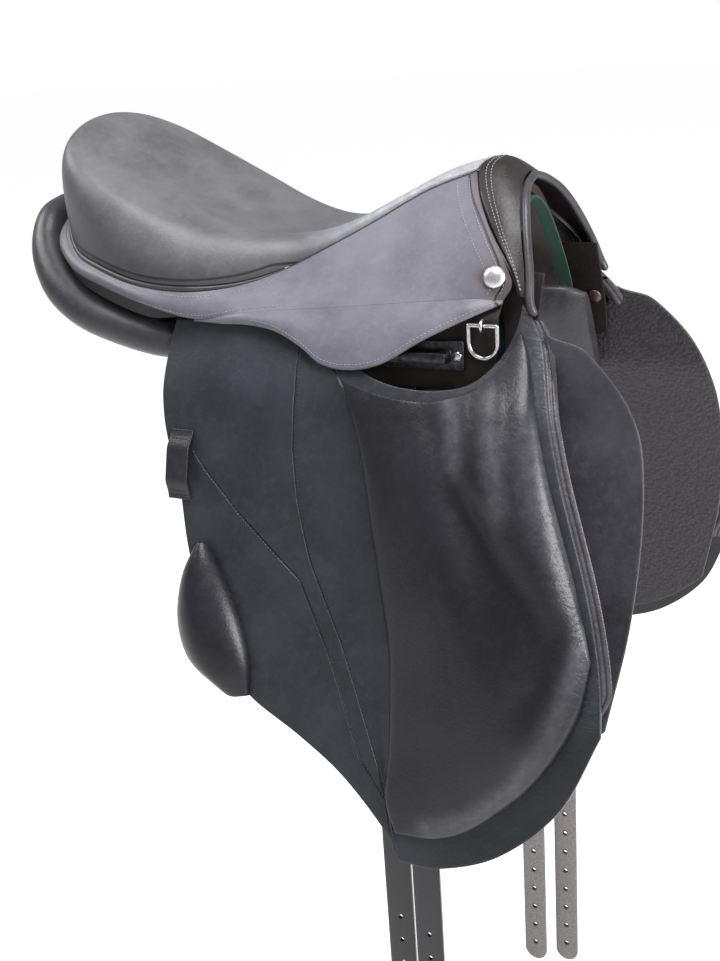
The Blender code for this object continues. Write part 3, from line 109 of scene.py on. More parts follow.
THIGH_FOOT = [(-38, -262), (-20, -269), (-4, -267)]
THIGH_FRONT = [(-55, -147), (-38, -169), (-18, -203), (-6, -237), (-4, -267)]
SWEAT_REAR = [(-40, 4), (-30, -60), (0, -140), (45, -225), (105, -300)]
SWEAT_FOOT = [(105, -300), (160, -318), (215, -315), (255, -298), (288, -272)]
SWEAT_FRONT = [(226, 36), (258, 14), (288, -20), (304, -61), (309, -120), (304, -190), (288, -272)]
SWEAT_TOP = [(-40, 4), (20, -2), (80, -14), (140, -22), (190, -10), (214, 16), (226, 36)]
PANEL_STATIONS = [
    (-246, 50, 60, 10, 14, 0), (-240, 50, 59, 16, 26, 0), (-222, 53, 50, 20, 32, 4),
    (-190, 55, 34, 25, 30, 8), (-150, 58, 22, 29, 25, 12), (-100, 61, 17, 31, 23, 17),
    (-62, 65, 15, 32, 22, 22), (-30, 69, 13, 38, 21, 27), (0, 70, 10, 43, 20, 31),
    (50, 65, 4, 42, 15, 42), (100, 62, -2, 48, 13, 50), (150, 68, -8, 52, 12, 58),
    (185, 73, -10, 51, 10, 62), (204, 76, -11, 44, 7, 64),
]
GUSSET_PATH = [
    (-78, 104, 8, 8), (-127, 109.5, 10, 15), (-200, 101, 25, 18), (-240, 92, 42, 19.5),
    (-265, 80, 61, 19), (-283, 65, 83, 16.5), (-292, 44, 104, 14.5), (-294, 18, 112, 13),
]
FACING_FOOT = [
    (-102, 118, 34), (-134, 120, 33), (-185, 112, 45), (-228, 97, 60), (-253.5, 78.5, 86), (-267, 35, 101),
    (-269.5, 0, 104),
]
SWEAT_PROFILE = [
    (60, 84), (30, 89), (10, 94.5), (-20, 99.5), (-45, 104.5), (-80, 118.5), (-150, 140), (-220, 151),
    (-330, 158),
]
REAR_STRAP_PROFILE = [
    (30, 98), (16, 99.3), (0, 101.6), (-16, 104.6), (-45, 111), (-80, 127.5), (-150, 147),
    (-250, 163), (-330, 165), (-1200, 165),
]
FRONT_STRAP_PROFILE = [
    (30, 98), (16, 99.3), (0, 101.4), (-18, 104.6), (-32, 112), (-45, 119), (-80, 137), (-150, 159),
    (-230, 173.5), (-300, 177), (-1200, 177),
]
HEAD_LINE = [(0, 133), (20, 127), (40, 111), (58.5, 88), (75.5, 62), (89.5, 34), (95, 10)]
POMMEL_REAR_EDGE = [
    (148, 0, 153), (144, 14, 150.5), (143.2, 26, 143), (153, 44, 126), (172.2, 66, 101), (188, 79, 81),
    (195, 84, 69),
]
POMMEL_FRONT_EDGE = [
    (177, 0, 141.2), (178.4, 14, 138.8), (180.8, 28, 132.3), (185.3, 44, 120.3), (191.8, 61.5, 101.3),
    (198.8, 75.5, 78.3), (201.2, 81, 68.3),
]
POCKET_LINE = [(34, 83), (10, 92), (-15, 96)]
POCKET_RISE = [(71, 66), (60, 71.5), (47, 77)]

# Lines read on the flap, as x and z
FLAP_SEAM = [
    (21, 21), (19, 2), (22, -16), (23, -39), (24, -63), (31, -102), (38, -125), (46, -148),
    (62, -178), (79, -208), (96, -245), (112, -282), (121, -303), (130, -327),
]
KNEE_SEAM = [
    (42, 18), (56, 0), (74, -20), (91, -57), (100, -95), (105, -118), (110, -140), (119, -170),
    (126, -208), (130, -247), (131, -278), (130, -306), (130, -327), (135, -349), (141, -364),
]
CROSS_SEAM = [
    (-71, -76), (-61, -87), (-43, -103), (-24, -120), (8, -144), (38, -166), (71, -225),
    (104, -300), (129, -327),
]
REAR_FOLD = [(-83, -73), (-65, -112), (-50, -161), (-34, -200), (-20, -240)]
FRONT_WRINKLES = [(205, 62), (221, 20), (251, -36), (273, -90), (291, -144), (296, -180), (289, -232)]
KNEE_RIDGES = ([(166, -11), (175, -37), (176, -65)], [(196, -10), (204, -35), (209, -66)])
KNEE_HOLLOW = [(178, -74), (192, -97), (212, -124), (238, -153), (256, -180), (259, -212), (250, -245)]
# Painted highlights on the knee block: the line, width and strength of each
KNEE_HIGHLIGHTS = (
    ([(158, -12), (167, -33), (173, -58)], 8.0, 0.9), ([(193, -12), (202, -40), (208, -64), (214, -88)], 9.0, 0.8),
    ([(238, -30), (248, -76), (266, -104), (279, -132)], 17.0, 0.6),
    ([(287, -170), (277, -203), (261, -250), (238, -290), (205, -322), (170, -338)], 8.0, 0.9),
)


class Side(Enum):
    """Side of the horse, with the sign of its Y."""

    RIGHT = -1
    LEFT = 1

    @property
    def word(self) -> str:
        """Name of the side as the nodes write it."""
        return self.name.lower()


# Curves and surfaces


def smooth(value: Array) -> Array:
    """Ease from 0 to 1."""
    held = np.clip(value, 0.0, 1.0)
    return held * held * (3.0 - 2.0 * held)


def mix(start: Array, end: Array, share: Array) -> Array:
    """Mix two numbers or arrays of points."""
    return start * (1.0 - share) + end * share


def unit(points: Array) -> Array:
    """Give directions the length 1."""
    return points / np.maximum(np.linalg.norm(points, axis=-1, keepdims=True), 1e-9)


def stack(x: Array, y: Array, z: Array) -> Array:
    """Join three coordinates into an array of points."""
    return np.stack(np.broadcast_arrays(np.asarray(x, float), y, z), axis=-1)


def right_side(points: Sequence[tuple]) -> Array:
    """Turn points whose y is a distance into points on the right side."""
    return np.array([(x, -y, z) for x, y, z in points], float)


def flat(points: Sequence[tuple]) -> Array:
    """Turn x and z pairs into points on the middle plane."""
    return np.array([(x, 0.0, z) for x, z in points], float)


def hermite(start: Array, end: Array, leave: Array, arrive: Array, share: Array) -> Array:
    """Cubic from start to end with the given end slopes.

    Args:
        start: first points.
        end: last points.
        leave: slope at the start.
        arrive: slope at the end.
        share: shares from 0 to 1.

    Returns:
        The points at the shares.
    """
    square = share * share
    cube = square * share
    first = start * (2 * cube - 3 * square + 1) + leave * (cube - 2 * square + share)
    return first + end * (3 * square - 2 * cube) + arrive * (cube - square)


def spline(points: Array, share: Array, last: Optional[Array] = None) -> Array:
    """Points on a smooth curve that passes evenly through the given points.

    Args:
        points: the knots, one a row.
        share: places on the curve from 0 to 1.
        last: the knot after the last one, where the curve goes on.

    Returns:
        One point for each share.
    """
    count = len(points) - 1
    beyond = points[-1] * 2.0 - points[-2] if last is None else last
    knots = np.vstack([points[0] * 2.0 - points[1], points, beyond])
    place = np.clip(share, 0.0, 1.0) * count
    index = np.minimum(count - 1, np.floor(place).astype(int))
    local = (place - index)[..., None]
    before, here, after, far = (knots[index + step] for step in range(4))
    return hermite(here, after, (after - before) * 0.5, (far - here) * 0.5, local)


def even_spline(points: Array, share: Array) -> Array:
    """Like spline, with the share measured along the chords.

    Args:
        points: the knots, one a row.
        share: places on the curve from 0 to 1.

    Returns:
        One point for each share.
    """
    lengths = run_lengths(points)
    place = np.interp(np.clip(share, 0.0, 1.0) * lengths[-1], lengths, np.arange(len(points)))
    return spline(points, place / (len(points) - 1))


def run_lengths(points: Array) -> Array:
    """Length of the line from its first point to each of its points."""
    return np.concatenate([[0.0], np.cumsum(np.linalg.norm(np.diff(points, axis=0), axis=1))])


def table(rows: Sequence[tuple], where: Array) -> Array:
    """Read a smooth curve through (key, value) pairs in falling key order.

    Args:
        rows: the pairs.
        where: keys to read at.

    Returns:
        The values at the keys.
    """
    keys = -np.array([row[0] for row in rows], float)
    values = np.array([row[1] for row in rows], float)
    at = np.clip(-np.asarray(where, float), keys[0], keys[-1])
    index = np.clip(np.searchsorted(keys, at, side="right") - 1, 0, len(keys) - 2)
    before = np.maximum(index - 1, 0)
    after = np.minimum(index + 2, len(keys) - 1)
    width = keys[index + 1] - keys[index]
    leave = (values[index + 1] - values[before]) / (keys[index + 1] - keys[before]) * width
    arrive = (values[after] - values[index]) / (keys[after] - keys[index]) * width
    return hermite(values[index], values[index + 1], leave, arrive, (at - keys[index]) / width)


def coons(edges: Sequence[Array], across: Array, down: Array) -> Array:
    """Points of a patch between four edges.

    Args:
        edges: top, foot, rear and front edge.
        across: share from the rear edge to the front edge.
        down: share from the top edge to the foot.

    Returns:
        The points of the patch.
    """
    top, foot, rear, front = edges
    u, v = np.broadcast_arrays(np.asarray(across, float), np.asarray(down, float))
    along = mix(even_spline(top, u), even_spline(foot, u), v[..., None])
    sides = mix(even_spline(rear, v), even_spline(front, v), u[..., None])
    upper = mix(top[0], top[-1], u[..., None])
    lower = mix(foot[0], foot[-1], u[..., None])
    return along + sides - mix(upper, lower, v[..., None])


def line_distance(x: Array, z: Array, line: Sequence[tuple]) -> Array:
    """Signed distance in the XZ plane from a line, positive to its left in drawing order.

    Args:
        x: places along the horse.
        z: heights.
        line: x and z of the knots.

    Returns:
        The distances in millimetres.
    """
    knots = np.array(line, float)
    start, end = knots[:-1], knots[1:]
    step = end - start
    gap = np.stack([x, z], axis=-1)[:, None, :] - start[None]
    share = np.clip((gap * step).sum(-1) / (step * step).sum(-1), 0.0, 1.0)
    away = gap - share[..., None] * step
    size = np.linalg.norm(away, axis=-1)
    best = size.argmin(axis=1)
    rows = np.arange(len(x))
    turn = step[best, 0] * gap[rows, best, 1] - step[best, 1] * gap[rows, best, 0]
    return size[rows, best] * np.where(turn < 0.0, -1.0, 1.0)


def near_line(x: Array, z: Array, line: Sequence[tuple], width: float) -> Array:
    """Share that is 1 on a line of the flap and falls off over a width."""
    return np.exp(-(line_distance(x, z, line) / width) ** 2)


def spokes(first: Array, second: Array, turn: Array) -> Array:
    """Directions round an axis for shares of the turn."""
    angle = (2 * np.pi * turn)[:, None]
    return first * np.cos(angle) + second * np.sin(angle)


def space_distance(spots: Array, line: Array) -> Array:
    """Distance in space from a line of points.

    Args:
        spots: points to measure from.
        line: points of the line.

    Returns:
        The distances in millimetres.
    """
    best = np.full(len(spots), 1e9)
    for start, end in zip(line[:-1], line[1:]):
        step = end - start
        share = np.clip(((spots - start) @ step) / (step @ step), 0.0, 1.0)
        best = np.minimum(best, np.linalg.norm(spots - start - share[:, None] * step, axis=1))
    return best


class Surface:
    """Smooth surface over the unit square, with layers parallel to it."""

    STEP = 0.004
    MARGIN = 0.02

    def __init__(self, draw: Callable[[Array, Array], Array]) -> None:
        """Keep the function that draws the surface."""
        self.draw = draw

    def normal(self, across: Array, down: Array) -> Array:
        """Directions away from the horse, read a little inside the edges.

        Args:
            across: share across.
            down: share down.

        Returns:
            Directions of length 1.
        """
        u = np.clip(across, self.MARGIN, 1.0 - self.MARGIN)
        v = np.clip(down, self.MARGIN, 1.0 - self.MARGIN)
        along = self.draw(u + self.STEP, v) - self.draw(u - self.STEP, v)
        fall = self.draw(u, v + self.STEP) - self.draw(u, v - self.STEP)
        found = np.cross(fall, along)
        on_plane = np.abs(self.draw(across, down)[..., 1]) < 1e-6
        found[..., 1] = np.where(on_plane, 0.0, found[..., 1])
        return unit(found)

    def layer(self, across: Array, down: Array, depth: Array) -> Array:
        """Points at a depth below the surface."""
        u, v, deep = np.broadcast_arrays(np.asarray(across, float), down, depth)
        return self.draw(u, v) - self.normal(u, v) * deep[..., None]


RIDGE = right_side(SEAT_RIDGE)
RIM = right_side(SEAT_RIM)
WELT = right_side(WELT_LINE)
FOOT = right_side(SKIRT_TOP_FOOT)
SEAM = right_side(POMMEL_SEAM)
BEAD = right_side(ARCH_BEAD)
LOBE_EDGE = right_side(SKIRT_EDGE)[::-1]
TREE_DEPTH = 15.0  # depth of the tree below the seat's ridge
CREASE_OUT = np.array([0.0, -0.77, 0.64])
CREASE_RISE = 4.0
OVER_PLANE = np.array([1.0, -1.0, 1.0])
CREASE_A = np.array([187.0, -90.0, 54.0])
CREASE_B = np.array([-84.0, -121.0, 34.0])
CREASE_REAR = -84.0
CREASE_FRONT = 186.8
UP = np.array([0.0, 0.0, 1.0])
SEAM_RUN = even_spline(SEAM, np.linspace(0.0, 1.0, 20))
FLAP_EDGES = [flat(points) for points in (FLAP_TOP, FLAP_FOOT, FLAP_REAR, FLAP_FRONT)]
KNEE_EDGES = [flat(points) for points in (KNEE_TOP, KNEE_FOOT, KNEE_REAR, KNEE_FRONT)]
THIGH_EDGES = [flat(points) for points in ([THIGH_REAR[0], THIGH_FRONT[0]], THIGH_FOOT, THIGH_REAR, THIGH_FRONT)]
SWEAT_EDGES = [flat(points) for points in (SWEAT_TOP, SWEAT_FOOT, SWEAT_REAR, SWEAT_FRONT)]


def welt_at(share: Array) -> Array:
    """Middle of the welt from the pommel (0) to the cantle (1)."""
    return spline(WELT, share, WELT[-2] * OVER_PLANE)


def welt_space(back: Array) -> Array:
    """Room for the welt beside its line: wide round the cantle, narrow beside the pommel."""
    return mix(1.3, 3.2, smooth((back - 0.3) / 0.25))


def seat_form(across: Array, down: Array, sunk: float) -> Array:
    """Seat surface (sunk 0) or the tree's surface below it (sunk 1).

    Args:
        across: share from the middle line to the welt.
        down: share from the pommel to the cantle.
        sunk: share of the way down to the tree.

    Returns:
        Points on the right side.
    """
    u, v = (item[..., None] for item in np.broadcast_arrays(np.asarray(across, float), np.asarray(down, float)))
    ridge = spline(RIDGE, v[..., 0])
    rim = spline(RIM, v[..., 0], RIM[-2] * OVER_PLANE)
    edge = welt_at(v[..., 0]) + UP * mix(welt_space(v), 4.0, sunk)
    inward = unit(stack(ridge[..., 0] - edge[..., 0], -edge[..., 1], 0.0))
    ridge = ridge - UP * TREE_DEPTH * sunk
    rim = rim + inward * (np.minimum(26.0, np.abs(rim[..., 1:2]) * 0.5 + 8.0 * v) * sunk)
    rim = rim - UP * (mix(TREE_DEPTH, 27.0, smooth(v * 2.0)) * sunk)
    edge = edge + inward * (13.0 * sunk)
    drop = np.maximum(6.0, rim[..., 2:] - edge[..., 2:])
    total = edge - ridge
    split = 0.55
    leave = stack(0.0, rim[..., 1] * 1.1, 0.0)
    near = hermite(ridge, rim, leave, total * split, np.minimum(u, split) / split)
    arrive = inward * 16.0 - UP * drop * 1.2
    far = hermite(rim, edge, total * (1.0 - split), arrive * 0.9, (np.maximum(u, split) - split) / (1.0 - split))
    return np.where(u <= split, near, far)


def crease_share(x: Array) -> Array:
    """Share of the rise with which the skirt runs over its crease in one curve."""
    return smooth((x - CREASE_REAR) / 50.0) * smooth((186.0 - x) / 26.0)


def skirt_point(across: Array, down: Array) -> Array:
    """Sewn skirt from the welt (down 0) to its foot; across runs rear to front.

    Args:
        across: share across.
        down: share down.

    Returns:
        Points on the right side.
    """
    u, v = np.broadcast_arrays(np.asarray(across, float), np.asarray(down, float))
    back = 1.0 - u
    welt = welt_at(back)
    foot = spline(FOOT, back, FOOT[-2] * OVER_PLANE)
    drop = unit(foot - welt)
    welt = welt + drop * welt_space(back)[..., None]
    foot = foot - drop * 0.1
    down_share = v[..., None]
    bend = even_spline(SEAM, v) - mix(WELT[0], FOOT[0], down_share)
    found = mix(welt, foot, down_share) + bend * (1.0 - smooth(back / 0.16))[..., None]
    rear = smooth((back - 0.7) / 0.3)[..., None]
    outward = unit(mix(np.array([0.0, -1.0, 0.0]), np.array([-1.0, 0.0, 0.0]), rear))
    found = found + outward * 4.0 * np.sin(np.pi * down_share)
    rise = CREASE_RISE * (1.0 - np.sin(np.pi * v)) * (v > 0.5) * crease_share(found[..., 0])
    return found + CREASE_OUT * rise[..., None]


def lobe_point(across: Array, down: Array) -> Array:
    """Free part of the skirt; across runs rear to front, down from the crease to the edge.

    Args:
        across: share across.
        down: share down.

    Returns:
        Points on the right side.
    """
    u, v = np.broadcast_arrays(np.asarray(across, float), np.asarray(down, float))
    edge = even_spline(LOBE_EDGE, u)
    share = (mix(CREASE_REAR, CREASE_FRONT, u) - CREASE_A[0]) / (CREASE_B[0] - CREASE_A[0])
    top = mix(CREASE_A, CREASE_B, share[..., None])
    found = mix(top + unit(edge - top) * 0.1, edge, v[..., None])
    rise = CREASE_RISE * (1.0 - v ** 3) * crease_share(top[..., 0])
    rise = rise + 1.2 * np.sin(np.pi * v) ** 2 * np.sin(np.pi * u)
    return found + CREASE_OUT * rise[..., None]


def flap_y(x: Array, z: Array) -> Array:
    """Place of the flap's middle layer, as a negative y."""
    out = 128.0 + 0.285 * (27.0 - z) - 12.0 * smooth((z + 32.0) / 58.0)
    return -(out - 26.0 * smooth((x - 60.0) / 140.0) * smooth((z + 80.0) / 140.0))


def on_flap(x: Array, z: Array, lift: Array) -> Array:
    """Points lifted square off the flap's middle layer.

    Args:
        x: places along the horse.
        z: heights.
        lift: distance from the middle layer.

    Returns:
        Points on the right side.
    """
    step = 2.0
    slope_x = (flap_y(x + step, z) - flap_y(x - step, z)) / (2 * step)
    slope_z = (flap_y(x, z + step) - flap_y(x, z - step)) / (2 * step)
    outward = unit(stack(slope_x, -1.0, slope_z))
    return stack(x, flap_y(x, z), z) + outward * np.asarray(lift, float)[..., None]


def sweat_point(across: Array, down: Array) -> Array:
    """Sweat flap; across runs rear to front.

    Args:
        across: share across.
        down: share down.

    Returns:
        Points on the right side.
    """
    found = coons(SWEAT_EDGES, across, down)
    x, z = found[..., 0], found[..., 2]
    extra = 15.0 * smooth((70.0 - x) / 70.0) * smooth((z + 100.0) / 60.0)
    found[..., 1] = -(table(SWEAT_PROFILE, z) + extra)
    return found


def pommel_tuck(share: Array) -> Array:
    """Share by which the pommel cover goes on under the skirt, beside the middle."""
    return 0.3 * smooth((share - 0.3) / 0.25)


def pommel_point(across: Array, down: Array, depth: Array) -> Array:
    """Pommel cover over the full width (-1 to 1), from its seam to the bead.

    Args:
        across: place from -1 (right) to 1 (left).
        down: share from the seam to the bead.
        depth: depth below the outer face.

    Returns:
        Points of the layer.
    """
    u, v, deep = np.broadcast_arrays(np.asarray(across, float), down, depth)
    share = np.abs(u)
    v = mix(-pommel_tuck(share), 1.0, v)
    rear = right_side(POMMEL_REAR_EDGE + [(200, 88, 57)])
    front = right_side(POMMEL_FRONT_EDGE + [(206, 86, 55)])
    found = mix(even_spline(rear, share), even_spline(front, share), v[..., None])
    found[..., 2] += 5.0 * np.sin(np.pi * np.clip(v, 0.0, 1.0)) * (1.0 - share)
    deep = deep + 2.8 * smooth(-v / 0.1)
    found = found - unit(stack(0.25, -np.sin(share * 1.25), np.cos(share * 1.25))) * deep[..., None]
    found[..., 1] = np.where(share < 1e-6, 0.0, found[..., 1] * np.where(u > 0, -1.0, 1.0))
    return found


def head_arch(share: Array, down: Array, inset: Array) -> Array:
    """Arch of the tree's head over the full width (-1 to 1), set inwards.

    Args:
        share: place from -1 (right) to 1 (left).
        down: share from the rear to the front.
        inset: distance inwards.

    Returns:
        Points of the arch.
    """
    u, v, deep = np.broadcast_arrays(np.asarray(share, float), down, inset)
    line = np.array([(0.0, -y, z) for y, z in HEAD_LINE], float)
    width = np.abs(u)
    along = even_spline(line, np.minimum(1.0, width + 0.01)) - even_spline(line, np.maximum(0.0, width - 0.01))
    inward = unit(stack(0.0, -along[..., 2], along[..., 1]))
    inward = np.where((width < 1e-6)[..., None], np.array([0.0, 0.0, -1.0]), inward)
    found = even_spline(line, width) + inward * deep[..., None]
    found[..., 0] = mix(150.0, 174.0, v) + 6.0 * width
    found[..., 1] *= np.where(u > 0, -1.0, 1.0)
    return found


def crease_outward(x: Array) -> Array:
    """Outward direction that the two parts of the skirt share along their crease.

    Args:
        x: places along the horse.

    Returns:
        Directions of length 1.
    """
    u = np.linspace(0.0, 1.0, 60)
    lobe = LOBE.normal(u, np.full(60, 0.03))
    lobe_x = mix(CREASE_REAR, CREASE_FRONT, u)
    sewn_u = np.linspace(0.4, 1.0, 120)
    sewn_x = SKIRT.draw(sewn_u, np.ones(120))[:, 0]
    sewn = SKIRT.normal(sewn_u, np.full(120, 0.97))
    order = np.argsort(sewn_x)
    columns = [
        np.interp(x, lobe_x, lobe[:, axis]) + np.interp(x, sewn_x[order], sewn[order, axis]) for axis in range(3)
    ]
    return unit(np.stack(columns, axis=-1))


SEAT = Surface(lambda u, v: seat_form(u, v, 0.0))
TREE = Surface(lambda u, v: seat_form(u, v, 1.0))
SKIRT = Surface(skirt_point)
LOBE = Surface(lobe_point)
SWEAT = Surface(sweat_point)


# Finishes


def linear(code: str) -> tuple:
    """Turn an sRGB hex colour into linear red, green, blue and alpha."""
    parts = [int(code[place:place + 2], 16) / 255.0 for place in (1, 3, 5)]
    return tuple(part / 12.92 if part <= 0.04045 else ((part + 0.055) / 1.055) ** 2.4 for part in parts) + (1.0,)


def connect(tree: bpy.types.NodeTree, node: bpy.types.Node, inputs: dict) -> None:
    """Give a node its values and links.

    Args:
        tree: node tree of the node.
        node: node to set.
        inputs: value or linked socket for each input.
    """
    for key, value in inputs.items():
        if isinstance(value, bpy.types.NodeSocket):
            tree.links.new(value, node.inputs[key])
        else:
            node.inputs[key].default_value = value


def add_node(tree: bpy.types.NodeTree, kind: str, inputs: Optional[dict] = None, **settings) -> bpy.types.Node:
    """Add a node with its settings, values and links.

    Args:
        tree: node tree that takes the node.
        kind: type name of the node.
        inputs: value or linked socket for each input.
        **settings: properties of the node.

    Returns:
        The new node.
    """
    node = tree.nodes.new(kind)
    for key, value in settings.items():
        setattr(node, key, value)
    connect(tree, node, inputs or {})
    return node


class Graph:
    """Nodes of one material or world, with a short call for each kind that repeats."""

    def __init__(self, owner: bpy.types.ID) -> None:
        """Switch the nodes of a new material or world on.

        Args:
            owner: the material or the world.
        """
        owner.use_nodes = True
        self.owner = owner
        self.tree = owner.node_tree

    @cached_property
    def place(self) -> Socket:
        """Object coordinates in metres."""
        return add_node(self.tree, "ShaderNodeTexCoord").outputs["Object"]

    def attribute(self, name: str) -> Socket:
        """Read a number that is stored on the vertices."""
        return add_node(self.tree, "ShaderNodeAttribute", attribute_name=name).outputs["Fac"]

    def mapped(self, scale: tuple, rotation: tuple = (0.0, 0.0, 0.0)) -> Socket:
        """Turn and stretch the object coordinates."""
        inputs = {"Vector": self.place, "Rotation": rotation, "Scale": scale}
        return add_node(self.tree, "ShaderNodeMapping", inputs).outputs[0]

    def noise(self, scale: float, detail: float, roughness: float = 0.5, twist: float = 0.0,
              place: Optional[Socket] = None) -> Socket:
        """Cloudy pattern.

        Args:
            scale: repeats in a metre.
            detail: number of finer layers.
            roughness: strength of the finer layers.
            twist: distortion of the pattern.
            place: coordinates other than the object's own.

        Returns:
            The pattern from 0 to 1.
        """
        inputs = {"Vector": self.place if place is None else place, "Scale": scale, "Detail": detail,
                  "Roughness": roughness, "Distortion": twist}
        return add_node(self.tree, "ShaderNodeTexNoise", inputs).outputs["Fac"]

    def wave(self, scale: float, twist: float, axis: str) -> Socket:
        """Bands along an axis."""
        inputs = {"Vector": self.place, "Scale": scale, "Distortion": twist, "Detail": 2.0}
        return add_node(self.tree, "ShaderNodeTexWave", inputs, bands_direction=axis).outputs["Fac"]

    def cells(self, size_mm: float, feature: str = "F1") -> Socket:
        """Cells of a size in millimetres, as the distance from their middles."""
        inputs = {"Vector": self.place, "Scale": 1000 / size_mm}
        return add_node(self.tree, "ShaderNodeTexVoronoi", inputs, feature=feature).outputs["Distance"]

    def math(self, operation: str, *values: object, held: bool = False) -> Socket:
        """Calculate with numbers; held keeps the result from 0 to 1."""
        inputs = dict(enumerate(values))
        return add_node(self.tree, "ShaderNodeMath", inputs, operation=operation, use_clamp=held).outputs[0]

    def spread(self, value: Socket, source: tuple, target: tuple = (0.0, 1.0), eased: bool = False) -> Socket:
        """Map a range of a value to another one.

        Args:
            value: the number.
            source: range that it is read over.
            target: range that it is given.
            eased: whether the ends are eased.

        Returns:
            The mapped number.
        """
        ends = dict(zip(("From Min", "From Max", "To Min", "To Max"), source + target))
        kind = "SMOOTHSTEP" if eased else "LINEAR"
        inputs = {"Value": value} | ends
        return add_node(self.tree, "ShaderNodeMapRange", inputs, interpolation_type=kind).outputs["Result"]

    def blend(self, share: object, first: object, second: object, kind: str = "MIX") -> Socket:
        """Mix two colours.

        Args:
            share: share of the second colour.
            first: socket or hex colour.
            second: socket or hex colour.
            kind: way of mixing.

        Returns:
            The mixed colour.
        """
        colours = [linear(colour) if isinstance(colour, str) else colour for colour in (first, second)]
        inputs = {0: share, 6: colours[0], 7: colours[1]}
        return add_node(self.tree, "ShaderNodeMix", inputs, data_type="RGBA", blend_type=kind).outputs[2]

    def shade(self, face: str, inputs: dict, height: Socket, depth_mm: float = 1.0) -> bpy.types.Material:
        """Set the shader.

        Args:
            face: hex colour where materials aren't shown.
            inputs: values and links of the shader.
            height: relief of the pattern.
            depth_mm: depth of a relief of 1.

        Returns:
            The material.
        """
        relief = {"Height": height, "Distance": depth_mm * MM, "Strength": 1.0}
        bump = add_node(self.tree, "ShaderNodeBump", relief)
        connect(self.tree, self.tree.nodes["Principled BSDF"], inputs | {"Normal": bump.outputs["Normal"]})
        self.owner.diffuse_color = linear(face)
        return self.owner


